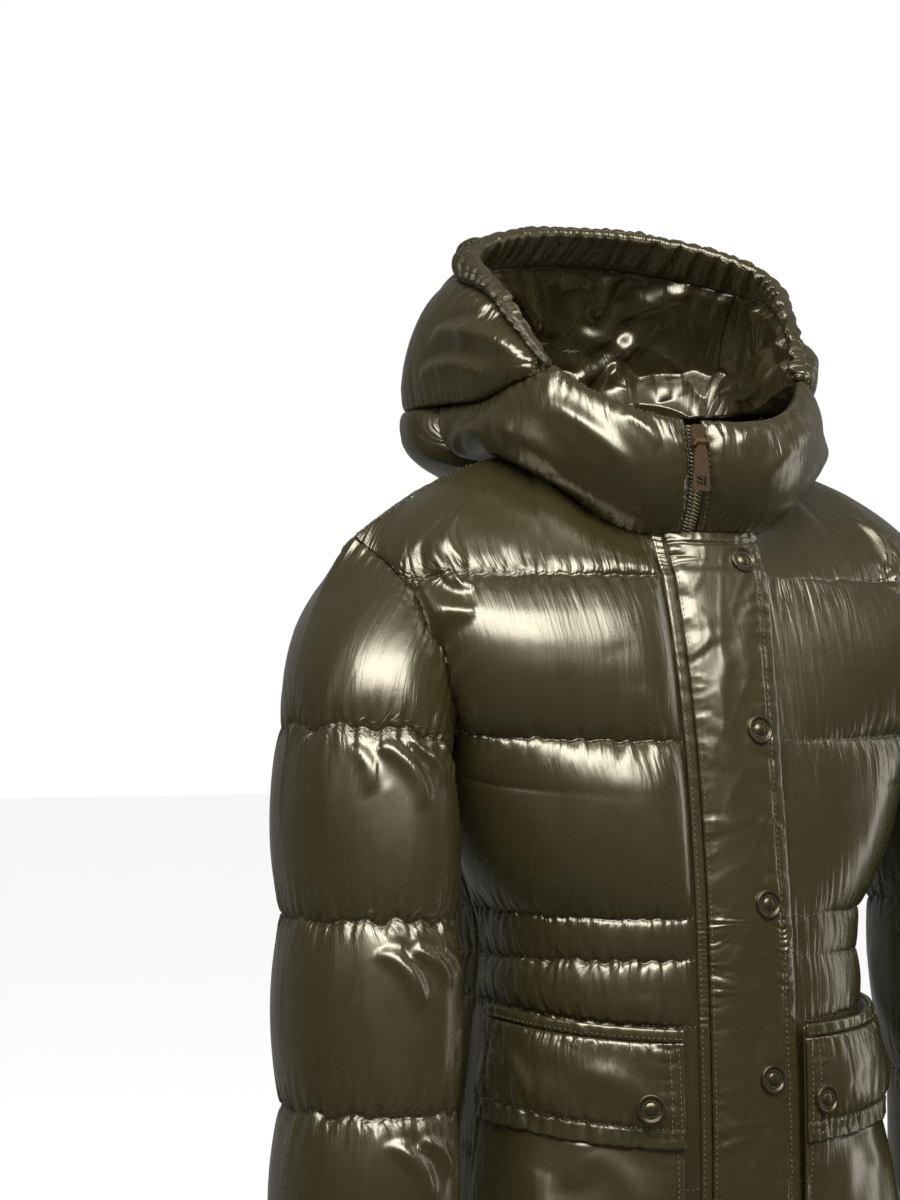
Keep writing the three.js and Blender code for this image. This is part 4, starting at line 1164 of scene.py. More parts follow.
def make_sleeve(side):
    name = f"sleeve_{side}"
    t = np.linspace(0, 1, CAP["rows"] + 1)
    blocks, swells, seams = [cap_point(ROUND, t[:, None])], [CAP["puff"] * pillow(t)], [0, CAP["rows"]]
    for top, bottom, puff, rows in zip(*SLEEVE_ROWS.values()):
        t = crowded(int(rows))[1:]
        blocks.append(sleeve_point(ROUND, lerp(top, bottom, t)[:, None]))
        swells.append(puff * pillow(t))
        seams.append(seams[-1] + int(rows))
    points = np.concatenate(blocks)[::-1]
    seams = [len(points) - 1 - row for row in seams][::-1]
    cloth = Cloth(points, seams, ring=True, inside=(200, -40, -300))
    moved = padding(cloth, np.concatenate(swells)[::-1, None] * (1 - 0.6 * UNDERSIDE), SEEDS[name])
    dressed(cloth, SEEDS[name], 1 - 0.75 * UNDERSIDE, SLEEVE_FOLDS, 1.5, 1.1)
    outer = cloth.outer() + moved * (1 - 0.8 * UNDERSIDE)[..., None]
    sewn_piece(name, cloth, outer, cloth.points - cloth.out * WALL, fill=0.75)


def make_cuff(side):
    t = np.linspace(0, 1, CUFF["rows"] + 1)
    points = sleeve_point(ROUND, lerp(CUFF["top"], CUFF["bottom"], t)[:, None])[::-1]
    cloth = Cloth(points, [0, CUFF["rows"]], ring=True, inside=(218, -69, -535))
    cloth.height += CUFF["puff"] * pillow(t)[::-1, None] + 0.6
    cloth.gather_rows(SEEDS["cuff"], 1.0, 14, 7)
    piece = layer(f"cuff_{side}", cloth, -WALL, look="strap")


# ---- Hood ----


def hood_grid(turn, t, seams):
    """A part of the hood's shell, which swells outward and never downward, and its true way out."""
    cloth = Cloth(hood_point(turn, t), seams, inside=(0, 10, 60))
    normal = cloth.out
    cloth.out = unit(normal * np.array([1, 1, 0]) + point(0, 0, np.maximum(normal[..., 2], 0)))
    return cloth, normal


def hood_cloth(start, stop, across, seams, rows, soft, puff, rests=0.0, foot=0.0, head=0.0):
    """A hood piece's shell between two turns, and its padding's swell, partly kept at its foot and head."""
    share = np.linspace(0, 1, across + 1)[None, :]
    near = lerp(float(start(np.array(0.5))), stop, share)
    blocks = []
    for i, (low, high) in enumerate(zip(seams[:-1], seams[1:])):
        count = rows[i]
        s = np.linspace(0, 1, count + 1)[1 if i else 0 :, None]
        t = lerp(low(near), high(near), s)
        turn = lerp(start(t), stop, share)
        flank = swell(turn - start(t), soft[0]) * swell(stop - turn, soft[1])
        pressed = 1 - rests * (1 - s) ** 4
        kept = np.where(s < 0.5, foot if i == 0 else 0, head if i == len(rows) - 1 else 0)
        blocks.append((t, turn, puff * (kept + (1 - kept) * pillow(s)) * pressed * flank))
    t, turn, base = (np.concatenate([block[i] for block in blocks]) for i in range(3))
    cloth, normal = hood_grid(turn, t, np.concatenate([[0], np.cumsum(rows)]))
    return cloth, base, normal


def eased(cloth, ends):
    """From 0 at an end that fades out up to 1, over each of two lengths. An end of 0 doesn't fade."""
    ease = np.ones_like(cloth.along)
    for reach, away in zip(ends, (cloth.along, cloth.from_last)):
        if reach:
            ease = ease * clamp(away / reach) ** 0.7
    return ease


def lined(cloth, normal, seed, bulge, folds, roll, ends):
    """The lining side of a hood piece, loose and folded, bulging into the hollow over a roll at its foot."""
    along, up = cloth.along, cloth.up
    rise = up - up[0]
    share = rise / (up[-1] - up[0])
    top = ROLL_RISE * (1 + 0.2 * waves(seed + 7, along, up * 0, 42) * clamp(cloth.from_side / 14))
    full = bulge * np.sin(np.pi * clamp(share) ** 1.5) ** 0.7 + roll * np.sqrt(clamp(1 - (rise / top) ** 2))
    full = full * eased(cloth, ends)
    in_roll = clamp(1.4 - rise / ROLL_RISE) if roll else 0
    crumple = 1 - np.abs(waves(seed + 1, along, up, 62, 6))
    loose = roll * 0.08 * creases(ROLL_FOLDS, along, up) * eased(cloth, ends) * in_roll
    loose = loose + waves(seed, along, up, 56) * 2.2 + 2.4 * clamp(crumple) ** 3 * (1 + 1.2 * in_roll)
    loose += gathers(seed + 2, along, cloth.from_row(0), LINING_GATHER, 18, 14)
    loose += gathers(seed + 3, along, cloth.from_row(-1), LINING_GATHER * 1.5, 30, 15)
    loose += creases(folds, along, up)
    held = np.minimum(cloth.from_row(0), cloth.from_row(-1))
    for reach, away in zip(ends, (along, cloth.from_last)):
        if reach or not roll:
            held = np.minimum(held, away)
    inward = full + loose * (0.15 + 0.85 * clamp(cloth.from_side / 9))
    return cloth.points - normal * (WALL + np.maximum(-1.2, inward) * clamp(held / 5))[..., None]


def hood_piece(name, made, folds, lining_folds=(), bulge=2.0, roll=0.0, free=1.0, ends=(0, 0)):
    """free is how much of the gathers and folds shows, row by row."""
    cloth, base, normal = made
    seed, s = SEEDS[name], sizes()
    moved = padding(cloth, base, seed)
    dressed(cloth, seed, free, folds)
    cloth.gather_sides(seed + 60, s.gather_height * 0.7, s.gather_reach * 0.7, s.gather_pitch)
    outer = cloth.outer() + moved * clamp(cloth.from_side / 6)[..., None]
    inner = lined(cloth, normal, seed + 80, bulge, lining_folds, roll, ends)
    sewn_piece(name, cloth, outer, inner, step=1 if roll else 2, fill=0.65)


def steady(value):
    """A function with one value everywhere, for a seam at one level or an edge at one turn."""
    return lambda v: v * 0.0 + value


at_neck, at_crown, at_edge = steady(0.0), steady(CROWN_SEAM), steady(CASING_FROM - 0.004)


def risen(cloth, row):
    """From 0.2 at a row that is sewn flat to 1 well away from it."""
    return 0.2 + 0.8 * clamp(cloth.from_row(row) / 22)


def make_collar(side):
    sign = 1 if side == "left" else -1

    def begins(t):
        return turn_at(sign * zip_x(t) + CENTRE_GAP, t)

    end = COLLAR_END + COLLAR_LAP
    made = hood_cloth(begins, end, HOOD_COLUMNS["collar"], (at_neck, band_top), (48,), (20, 5), 14, rests=1)
    hood_piece(f"collar_{side}", made, COLLAR_FOLDS)


def make_hood_side(side):
    start = steady(CASING_START + 3)
    columns = HOOD_COLUMNS["side"]
    made = hood_cloth(start, HOOD_SEAM, columns, (band_top, at_edge), (60,), (12, 14), 19, foot=0.5)
    free = risen(made[0], 0)
    hood_piece(f"hood_side_{side}", made, SIDE_FOLDS, roll=22, free=free, ends=(45, 0))


def make_nape():
    start, end, columns = COLLAR_END, 360 - COLLAR_END, HOOD_COLUMNS["nape"]
    seams = (at_neck, band_top)
    made = hood_cloth(steady(start), end, columns, seams, (36,), (4, 4), 16, rests=1, head=0.58)
    cloth, base, normal = made
    turn = start + (end - start) * np.linspace(0, 1, columns + 1)
    aside = np.minimum(turn, 360 - turn) - COLLAR_END - COLLAR_LAP
    base *= swell(aside, 10)[None, :]
    cloth.points = cloth.points - normal * (6 * clamp(1 - aside / 7))[None, :, None]
    free = risen(cloth, -1)
    hood_piece("hood_nape", made, NAPE_FOLDS, ROLL_FOLDS, bulge=26, free=free, ends=(48, 48))


def make_centre():
    seams = (band_top, at_crown, at_edge)
    start, end = steady(HOOD_SEAM), 360 - HOOD_SEAM
    made = hood_cloth(start, end, HOOD_COLUMNS["centre"], seams, (36, 36), (14, 14), 16, foot=0.58)
    free = risen(made[0], 0)
    hood_piece("hood_centre", made, CENTRE_FOLDS, HOOD_LINING_FOLDS, bulge=3, roll=22, free=free)


def make_casing():
    """The elastic casing round the face opening, gathered all along."""
    seed = SEEDS["hood_casing"]
    turn = np.linspace(CASING_START, 360 - CASING_START, CASING_COLUMNS + 1)[None, :]
    share = np.linspace(0, 1, CASING_ROWS + 1)[:, None]
    cloth, normal = hood_grid(turn, lerp(CASING_FROM, 1, share), [0, CASING_ROWS])
    foot, middle, rim = (hood_point(turn[0], t) for t in (CASING_FROM, 0.95, 1.0))
    skew = np.sum((rim - foot) * unit(np.gradient(middle, axis=0)), axis=-1)
    run = cloth.along[CASING_ROWS // 2] + (share - 0.5) * skew
    round_over = swell(share, 0.5) * swell(1 - share, 0.55)
    calm = clamp((np.minimum(turn, 360 - turn) - CASING_START) / 50)
    elastic = gathers(seed, run, share * 9, 6.8, 60, 9.5, 0.14) * (0.25 + 0.75 * calm)
    fine = gathers(seed + 10, run, share * 5, 2.0, 40, 4.8)
    full = 3.0 + 2.5 * calm
    uneven = waves(seed + 20, cloth.along, cloth.up, 40) * 0.8
    cloth.height += 1 + round_over * (full + elastic + fine + uneven)
    inside = gathers(seed + 30, run, share * 9, 6.0, 60, 11, 0.2)
    inside += gathers(seed + 40, run, (1 - share) * 9, 1.6, 60, 6, 0.3)
    inner = cloth.points - normal * (WALL + (inside + 1.6) * round_over)[..., None]
    sewn_piece("hood_casing", cloth, cloth.outer(), inner, step=1, fill=0.4)


# ---- Placket, straps and pockets ----


def front_frame(x, level):
    """A front's shell and its way out at a signed distance from the centre."""
    share = share_at("front", level, x)
    at = body_point("front", share, level)
    d = 0.01
    across = body_point("front", share + d, level) - body_point("front", share - d, level)
    up = body_point("front", share, level + d) - body_point("front", share, level - d)
    out = unit(np.cross(across, up))
    return at, np.where(out[..., 1:2] > 0, -out, out)


def front_strip(x, level):
    """A strip of cloth down the closure, from its places across and its levels."""
    points, out = front_frame(x, level)
    cloth = Cloth(points, [0, PLACKET_ROWS])
    cloth.out = out
    return cloth


def placket_height(share):
    """Thin at the stitched-down side, full toward the free edge."""
    full = swell(share, 0.3)
    return LAYER_GAP + 1.7 + (PLACKET["thick"] - 1.7) * full + PLACKET["puff"] * pillow(share)


def stitch_dip(distance, width, height):
    """The dip along a line of stitching."""
    return -height * np.exp(-((distance / width) ** 2))


def make_placket():
    seed = SEEDS["placket"]
    foot, head = level_of(PLACKET["bottom"]), level_of(PLACKET["top"] + 3.5)
    level = np.linspace(foot, head, PLACKET_ROWS + 1)[:, None]
    share = np.linspace(0, 1, PLACKET_COLUMNS + 1)[None, :]
    edge = placket_edge(seam_value(level, "centre"))
    cloth = front_strip(lerp(PLACKET["right"], edge, share), level)
    along, up = cloth.along, cloth.up
    first_seam = along - PLACKET_LINES["first"]
    free_seam = cloth.from_last - PLACKET_LINES["free"]
    cloth.height += placket_height(share)
    for distance in (first_seam, free_seam, cloth.from_top - PLACKET_LINES["top"]):
        cloth.height += stitch_dip(distance, 1.1, 0.8)
    pucker = gathers(seed, up, np.abs(free_seam), 2.0, 8, 5.2, 0.5)
    pucker += gathers(seed + 5, up, np.abs(free_seam), 1.1, 18, 15, 0.5)
    pucker += gathers(seed + 10, up, np.abs(first_seam), 1.4, 10, 5.2, 0.5)
    pucker += gathers(seed + 15, up, np.abs(first_seam), 1.2, 20, 19, 0.5)
    pucker += gathers(seed + 18, along, cloth.from_top, 1.0, 6, 7, 0.3)
    cloth.height += pucker + creases(PLACKET_FOLDS, along, up) * 0.5
    cloth.height += waves(seed + 20, along, up, 50) * 0.2
    cloth.height += 0.3 * clamp(1 - np.abs(waves(seed + 30, along * 1.6, up, 40, 5))) ** 4
    cloth.height = np.maximum(cloth.height, LAYER_GAP + 1.6)
    placket = layer("placket", cloth, LAYER_GAP, look="strap", step=2)

    x = np.linspace(EDGE_STRIP["right"], EDGE_STRIP["left"], 5)[None, :]
    cloth = front_strip(x, level)
    run = np.linspace(0, 580, PLACKET_ROWS + 1)[:, None]
    ripple = gathers(seed + 40, run, np.abs(x - EDGE_STRIP["left"]), 1.0, 9, 7, 0.3)
    cloth.height += LAYER_GAP + EDGE_STRIP["thick"] + ripple
    strip = layer("edge_strip", cloth, LAYER_GAP, look="strap", step=2)


def on_front(side, low, high, rows, columns):
    """A patch of a front's shell between two heights, from the pocket's inner edge out to the side."""
    z = np.linspace(low, high, rows + 1)[:, None]
    first = share_at("front", level_of(z), POCKET_INNER[side])
    reach = POCKET["outer"] - first
    run = np.interp(np.linspace(0, 1, columns + 1), np.linspace(0, 1, 201), even_shares("front", 200, 1.5))
    u = first + reach * run
    return Cloth(body_point("front", u, level_of(z)), [0, rows]), z, (u - first) / reach


def make_bag(side):
    name = f"pocket_{side}"
    seed = SEEDS[name]
    cloth, z, share = on_front(side, POCKET["bottom"], POCKET["top"], 96, 64)
    along, up = cloth.along, cloth.up
    bag = clamp((z - POCKET["bottom"]) / (FLAP["bottom"] - POCKET["bottom"]))
    under_flap = z > FLAP["bottom"]
    full = np.where(under_flap, 0, pillow(bag) * pillow(share)) * np.minimum(1, 1.5 * (1 - bag)) ** 0.8
    cloth.height += ON_FRONT + POCKET["thick"] + POCKET["puff"] * full
    edge = np.minimum(cloth.from_side, up - up[0])
    folds = gathers(seed, along, up, 1.6, 14, 10) + gathers(seed + 2, up, along, 1.0, 10, 10)
    folds += creases(BAG_FOLDS, along, up) + waves(seed + 3, along, up, 50) * 0.7
    cloth.height += np.where(under_flap, 0, folds) * clamp(edge / 3)
    cloth.height += np.where(under_flap, 0, stitch_dip(edge - 4, 1.1, 0.7))
    layer(name, cloth, ON_FRONT, fill=0.5)


def make_flap(side):
    seed = SEEDS[f"pocket_{side}"]
    cloth, z, share = on_front(side, FLAP["bottom"], FLAP["top"], 48, 96)
    along, up, border = cloth.along, cloth.up, FLAP["border"]
    full = clamp((z - FLAP["bottom"] - border) / (FLAP["top"] - FLAP["bottom"] - border))
    cloth.height += ON_POCKET + FLAP["thick"] + 0.6 * FLAP["puff"] * pillow(full) * pillow(share)
    seam, side_seam = up - border, cloth.from_side - 9
    cloth.height += gathers(seed + 10, along, np.abs(seam), 3.0, 11, 6.5)
    cloth.height += gathers(seed + 15, along, np.abs(seam), 1.6, 24, 16)
    cloth.height += gathers(seed + 25, along, cloth.from_top, 2.2, 9, 7)
    cloth.height += gathers(seed + 20, up, np.abs(side_seam), 1.6, 8, 7) * clamp(up / 4)
    cloth.height += stitch_dip(seam, 1.1, 0.9) + stitch_dip(side_seam, 1.1, 0.8)
    ripple = gathers(seed + 12, along, up, 2.2, 9, 9)
    cloth.points = cloth.points + point(0, 0, 1.0) * np.maximum(ripple, -0.8)[..., None]
    cloth.height += creases(FLAP_FOLDS, along, up) + waves(seed + 30, along, up, 36) * 0.5
    cloth.height = np.maximum(cloth.height, ON_POCKET + 1.4)
    layer(f"flap_{side}", cloth, ON_POCKET, fill=0.5)


def make_mouth_strip(side):
    cloth, _, _ = on_front(side, MOUTH_STRIP["bottom"], MOUTH_STRIP["top"], 8, 96)
    cloth.height += ON_POCKET + MOUTH_STRIP["thick"] + 0.8 * pillow(cloth.up / cloth.up[-1:])
    cloth.height += gathers(SEEDS[f"pocket_{side}"] + 40, cloth.along, cloth.up, 1.6, 14, 7)
    layer(f"mouth_strip_{side}", cloth, ON_POCKET, look="strap", step=2)


# ---- Hard pieces ----


def zip_path():
    """The chain's middle line, its way out and its length."""
    level = np.linspace(level_of(PLACKET["bottom"]), TOP, 260)
    body, _ = front_frame(ZIP["neck"], level)
    t = np.linspace(0.1, ZIP["top"], 60)
    chin = hood_point(turn_at(zip_x(t), t), t)
    path = np.concatenate([body, chin])
    along = np.gradient(path, axis=0)
    out = unit(np.stack([path[:, 0] * 0, -along[:, 2], along[:, 1]], axis=1))
    return path, out, run_of(path)


def sampled(values, run, at):
    """Rows of three numbers read off at lengths along a line."""
    return np.stack([np.interp(at, run, values[:, i]) for i in range(3)], axis=1)


def resampled(path, out, run, at):
    return sampled(path, run, at), unit(sampled(out, run, at))


BOX_CORNERS = np.array([(x, y, z) for x in (-1, 1) for y in (-1, 1) for z in (-1, 1)], float)
BOX_FACES = ((0, 1, 3, 2), (4, 6, 7, 5), (0, 4, 5, 1), (2, 3, 7, 6), (0, 2, 6, 4), (1, 5, 7, 3))


def make_zip_chain():
    """Two tapes with a row of slanted teeth on each."""
    path, out, run = zip_path()
    for side, low, high in (("right", -ZIP["half"], -0.5), ("left", 0.5, ZIP["half"])):
        across = np.linspace(low, high, 5)[None, :, None] * np.array([1.0, 0, 0])
        tape, way = path[:, None, :] + across, out[:, None, :]
        tape = wall_mesh(f"zip_tape_{side}", tape - way * 1.3, tape - way * 2.1, "zip_tape", step=1)
        worn(tape, "zip_chain")
    pitch = sizes().tooth_pitch
    teeth = []
    for sign, phase in ((-1, 0.0), (1, 0.5)):
        at = np.arange(pitch * phase, run[-1] - 1, pitch)
        spot, way = resampled(path, out, run, at)
        half = BOX_CORNERS * np.array([2.3, pitch * 0.3, 0.8])
        half[:, 1] *= np.where(BOX_CORNERS[:, 0] * sign > 0, 0.75, 1)
        for p, n, u in zip(spot, way, unit(np.gradient(spot, axis=0))):
            right = np.cross(u, n)
            lean = u * 0.5 * sign
            middle = p + right * (sign * 1.9) - n * 0.85
            teeth.append(middle + half[:, :1] * (right - lean * sign) + half[:, 1:2] * u + half[:, 2:] * n)
    worn(many("zip_teeth", teeth, BOX_FACES, "zip_teeth"), "zip_chain")


def many(name, shapes, faces, look):
    """One mesh of many small closed shapes with the same faces, turned outward."""
    shapes = np.array(shapes)
    first = np.arange(len(shapes)) * shapes.shape[1]
    faces = (np.array(faces)[None] + first[:, None, None]).reshape(-1, len(faces[0]))
    flat = shapes.reshape(-1, 3)
    if signed_volume(flat, faces) < 0:
        faces = faces[:, ::-1]
    return new_piece(name, flat, faces.tolist(), look)


SNAP_BEADS = 18
# the cap's face from rim to middle: insets as shares of the radius, with lifts as shares of the height
SNAP_STEPS = ((0.2, 0), (0.06, -0.4), (0.3, 0), (0.05, 0.12), (0.14, 0.16), (0.14, 0.06))


def snap_model():
    """A snap cap at the origin, facing +Z: a rolled rim, a ring of fine beads and a shallow dome."""
    s = sizes()
    radius, thick = s.snap_radius, SNAP["thick"] * MM
    deselect()
    bpy.ops.mesh.primitive_cylinder_add(vertices=48, radius=radius, depth=thick, location=(0, 0, thick / 2))
    cap = bpy.context.object
    bpy.ops.object.mode_set(mode="EDIT")
    bpy.ops.mesh.select_mode(type="FACE")
    bpy.ops.mesh.select_all(action="DESELECT")
    bpy.ops.object.mode_set(mode="OBJECT")
    for face in cap.data.polygons:
        face.select = face.normal.z > 0.9
    bpy.ops.object.mode_set(mode="EDIT")
    for inset, lift in SNAP_STEPS:
        bpy.ops.mesh.inset(thickness=radius * inset)
        if lift:
            bpy.ops.transform.translate(value=(0, 0, thick * lift))
    bpy.ops.object.mode_set(mode="OBJECT")
    bevel = cap.modifiers.new("Bevel", "BEVEL")
    bevel.width, bevel.segments, bevel.angle_limit = 0.00045, 3, math.radians(35)
    bpy.ops.object.modifier_apply(modifier="Bevel")
    bpy.ops.object.shade_smooth()
    beads = []
    for i in range(SNAP_BEADS):
        angle = 2 * math.pi * i / SNAP_BEADS
        spot = (radius * 0.58 * math.cos(angle), radius * 0.58 * math.sin(angle), thick * 0.62)
        bpy.ops.mesh.primitive_uv_sphere_add(segments=8, ring_count=5, radius=radius * 0.06, location=spot)
        bpy.ops.object.shade_smooth()
        beads.append(bpy.context.object)
    for bead in beads:
        bead.select_set(True)
    cap.select_set(True)
    bpy.context.view_layer.objects.active = cap
    bpy.ops.object.join()
    bpy.ops.object.transform_apply(location=True, rotation=True, scale=True)
    return cap


def place_copy(model, name, spot, out, turn):
    """A copy of a small model with its own mesh, turned on itself and seated on a point, facing out."""
    side = unit(np.cross(out, [0, 0, 1.0]))
    over = np.cross(side, out)
    c, s = math.cos(turn), math.sin(turn)
    mesh = model.data.copy()
    mesh.name = name
    flat = np.empty(len(mesh.vertices) * 3)
    mesh.vertices.foreach_get("co", flat)
    flat = flat.reshape(-1, 3)
    x, y = flat[:, :1] * c - flat[:, 1:2] * s, flat[:, :1] * s + flat[:, 1:2] * c
    moved = spot * MM + x * side * -1 + y * over + flat[:, 2:] * out
    mesh.vertices.foreach_set("co", moved.ravel())
    mesh.update()
    made = bpy.data.objects.new(name, mesh)
    bpy.context.scene.collection.objects.link(made)
    return made


def surface_spot(name, near):
    """The point of a placed piece's outside nearest to a point, and its way out."""
    outer, out, _ = PLACED[name]
    gap = np.linalg.norm(outer - near, axis=-1)
    i, j = np.unravel_index(np.argmin(gap), gap.shape)
    return outer[i, j], out[i, j]


def refinish(piece, look):
    piece.data.materials.clear()
    piece.data.materials.append(material(look))


def make_snaps():
    model = snap_model()
    spots = [(f"snap_{i + 1}", "placket", inset) for i, inset in enumerate(SNAP_INSETS)]
    spots += [(f"flap_snap_{side}", f"flap_{side}", SNAP["inset"]) for side in SIDES]
    draw = rng(SEEDS["snaps"])
    for name, panel, inset in spots:
        low, high = (np.array(corner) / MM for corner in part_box(name))
        near, out = surface_spot(panel, (low + high) / 2 + point(SNAP["inset"] - inset, 0, 0))
        snap = place_copy(model, name + "_cap", near - out * 0.35, out, draw.uniform(0, 1))
        refinish(snap, "snap_metal")
        worn(snap, name)
    bpy.data.objects.remove(model)


def finish_slider():
    for name in ("zip_slider", "pull_tab"):
        refinish(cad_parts[name], "zip_metal")


# ---- Stitching ----

STITCHED = []


def stitches(points, out, lift=0.35):
    """Marks a run of stitches along a line of points in millimetres."""
    s = sizes()
    run = run_of(points)
    centre = np.arange(s.stitch_pitch * 0.5, run[-1], s.stitch_pitch)
    long, wide = s.stitch_length / 2, s.stitch_width / 2
    spot, way = resampled(points, out, run, centre)
    ahead, _ = resampled(points, out, run, np.minimum(centre + long, run[-1]))
    behind, _ = resampled(points, out, run, np.maximum(centre - long, 0))
    along = unit(ahead - behind)
    side = np.cross(along, way)
    high = spot + way * (lift + wide)
    ends = [spot - along * long + way * lift * 0.5, spot + along * long + way * lift * 0.5]
    ring = [high, spot + side * wide + way * lift, spot - way * wide, spot - side * wide + way * lift]
    STITCHED.append(np.stack(ends + ring, axis=1))


STITCH_FACES = [(0, 3, 2), (0, 4, 3), (0, 5, 4), (0, 2, 5), (1, 2, 3), (1, 3, 4), (1, 4, 5), (1, 5, 2)]


def sew(name):
    """Joins the marked stitches into one piece of thread."""
    worn(many(name, np.concatenate(STITCHED), STITCH_FACES, "thread"))
    STITCHED.clear()


def inset_line(name, distance, end=False, first=0, last=None):
    """A line up a piece at a distance from its first or last column."""
    outer, out, _ = PLACED[name]
    along = lengths_along(outer)
    target = along[:, -1:] - distance if end else np.full((len(outer), 1), float(distance))
    lines = (np.concatenate([sampled(*row) for row in zip(grid, along, target)]) for grid in (outer, out))
    return [line[first:last] for line in lines]


def level_line(name, distance, from_top=False, first=0, last=None):
    """A line across a piece at a distance from its first or last row."""
    outer, out, _ = PLACED[name]
    up = lengths_up(outer)
    row = np.argmin(np.abs((up[-1] - distance if from_top else distance) - up), axis=0)
    column = np.arange(outer.shape[1])
    return outer[row, column][first:last], out[row, column][first:last]


def make_stitching():
    for name in ("front_left", "front_right", "back", "sleeve_left", "sleeve_right"):
        outer, out, seams = PLACED[name]
        for row in seams[1:-1]:
            stitches(outer[row], out[row], lift=0.5)
    for side in SIDES:
        stitches(*level_line(f"front_{side}", 3, from_top=True, first=40))
        stitches(*inset_line(f"hood_side_{side}", 3.5))
    sew("stitching_quilting")
    stitches(*inset_line("placket", PLACKET_LINES["first"]))
    stitches(*inset_line("placket", PLACKET_LINES["free"], end=True))
    stitches(*level_line("placket", PLACKET_LINES["top"], from_top=True, first=7, last=-6))
    stitches(*inset_line("edge_strip", 2.0))
    for side in SIDES:
        stitches(*level_line(f"flap_{side}", FLAP["border"]))
        stitches(*inset_line(f"flap_{side}", 3.0, first=4))
        stitches(*inset_line(f"flap_{side}", 9.0, first=4))
        stitches(*inset_line(f"pocket_{side}", 4.0, last=60))
        stitches(*level_line(f"pocket_{side}", 4.0))
        stitches(*level_line(f"mouth_strip_{side}", 1.6))
        stitches(*inset_line(f"collar_{side}", 3.0))
        stitches(*level_line(f"collar_{side}", 3.0, from_top=True, last=64))
    stitches(*level_line("hood_casing", 1.2))
    sew("stitching_trim")


# ---- Stage ----


def across_view(right, toward, up):
    """A spot by its place in the view: right, toward the camera and up, from the parka's middle."""
    angle = sizes().view_angle
    return (
        right * math.cos(angle) + toward * math.sin(angle),
        right * math.sin(angle) - toward * math.cos(angle),
        up,
    )


def aim(piece, target):
    way = mathutils.Vector(target) - piece.location
    piece.rotation_euler = way.to_track_quat("-Z", "Y").to_euler()


def add_lamp(name, right, toward, up, wide, high, power):
    light = bpy.data.lights.new(name, "AREA")
    light.shape, light.size, light.size_y, light.energy = "RECTANGLE", wide, high, power
    lamp = bpy.data.objects.new(name, light)
    bpy.context.scene.collection.objects.link(lamp)
    lamp.location = across_view(right, toward, up)
    aim(lamp, LAMP_TARGET)


def make_world():
    """White all round, but dim to glossy surfaces on the camera's side, as in a studio."""
    world = bpy.data.worlds.new("studio")
    bpy.context.scene.world = world
    world.use_nodes = True
    tree = world.node_tree
    tree.nodes.clear()
    out = node(tree, "ShaderNodeOutputWorld")
    plain = node(tree, "ShaderNodeBackground", Color=(1, 1, 1, 1), Strength=1.0)
    dim = node(tree, "ShaderNodeBackground", Strength=1.0)
    mix = node(tree, "ShaderNodeMixShader")
    rays = node(tree, "ShaderNodeLightPath")
    place = node(tree, "ShaderNodeTexCoord")
    facing = node(tree, "ShaderNodeVectorMath", operation="DOT_PRODUCT")
    facing.inputs[1].default_value = across_view(0, -1, 0.25)
    ramp = node(tree, "ShaderNodeMapRange", From_Min=-0.2, From_Max=0.9, To_Min=0.0, To_Max=0.25)
    shade = node(tree, "ShaderNodeCombineColor")
    join(
        tree,
        (place, "Generated", facing, 0),
        (facing, "Value", ramp, "Value"),
        *((ramp, "Result", shade, channel) for channel in ("Red", "Green", "Blue")),
        (shade, "Color", dim, "Color"),
        (rays, "Is Glossy Ray", mix, 0),
        (plain, "Background", mix, 1),
        (dim, "Background", mix, 2),
        (mix, "Shader", out, "Surface"),
    )


def make_stage():
    scene = bpy.context.scene
    scene.view_settings.view_transform = "Standard"
    make_world()
    for lamp in LAMPS:
        add_lamp(*lamp)
    deselect()
    bpy.ops.mesh.primitive_plane_add(size=FLOOR_SIZE, location=(0, 0, FLOOR_HEIGHT))
    floor = bpy.context.object
    floor.name = "floor"
    bpy.ops.object.transform_apply(location=True, rotation=True, scale=True)
    floor.data.materials.append(floor_material())
    floor.visible_glossy = False
    camera = bpy.data.cameras.new("camera")
    camera.sensor_fit, camera.sensor_height, camera.lens = "VERTICAL", SENSOR_HEIGHT, LENS
    eye = bpy.data.objects.new("camera", camera)
    scene.collection.objects.link(eye)
    distance = sizes().view_distance
    eye.location = across_view(0, distance, CAMERA_HEIGHT)
    aim(eye, across_view(AIM_RIGHT * distance, 0, CAMERA_HEIGHT + AIM_UP * distance))
    scene.camera = eye


# ---- Settings, operators and panel ----


def number(name, default, description="In millimetres", **more):
    return FloatProperty(name=name, description=description, default=default, **more)


class ParkaSizes(bpy.types.PropertyGroup):
    puff: number("Padding", 0.72, "How full the padding is", min=0.2, max=1.2)
    pressure: number("Pressure", 4.0, "Pressure that fills the padding")
    slack: number("Slack", 0.0, "Spare cloth between seams, as a share")
    settle: number("Settling", 6.0, "Most that filling moves the cloth, in millimetres")
    gather_height: number("Gather height", 2.5, min=0, max=5)
    gather_reach: number("Gather reach", 11.0, "In millimetres from the seam")
    gather_pitch: number("Gather pitch", 6.2, "In millimetres along the seam", min=3)
    stitch_pitch: number("Stitch pitch", 3.4, min=2)
    stitch_length: number("Stitch length", 2.4, min=1)
    stitch_width: number("Stitch width", 0.75, min=0.2)
    tooth_pitch: number("Tooth pitch", 2.4, min=1.5)
    snap_radius: number("Snap radius", 0.0085, "Radius of a cap", unit="LENGTH")
    view_angle: number("View angle", math.radians(-30), "Turn from the front", unit="ROTATION")
    view_distance: number("View distance", 2.0, "To the camera", unit="LENGTH")


def colour_property(name, description, default):
    limits = dict(size=3, subtype="COLOR", min=0, max=1)
    return FloatVectorProperty(name=name, description=description, default=default, **limits)


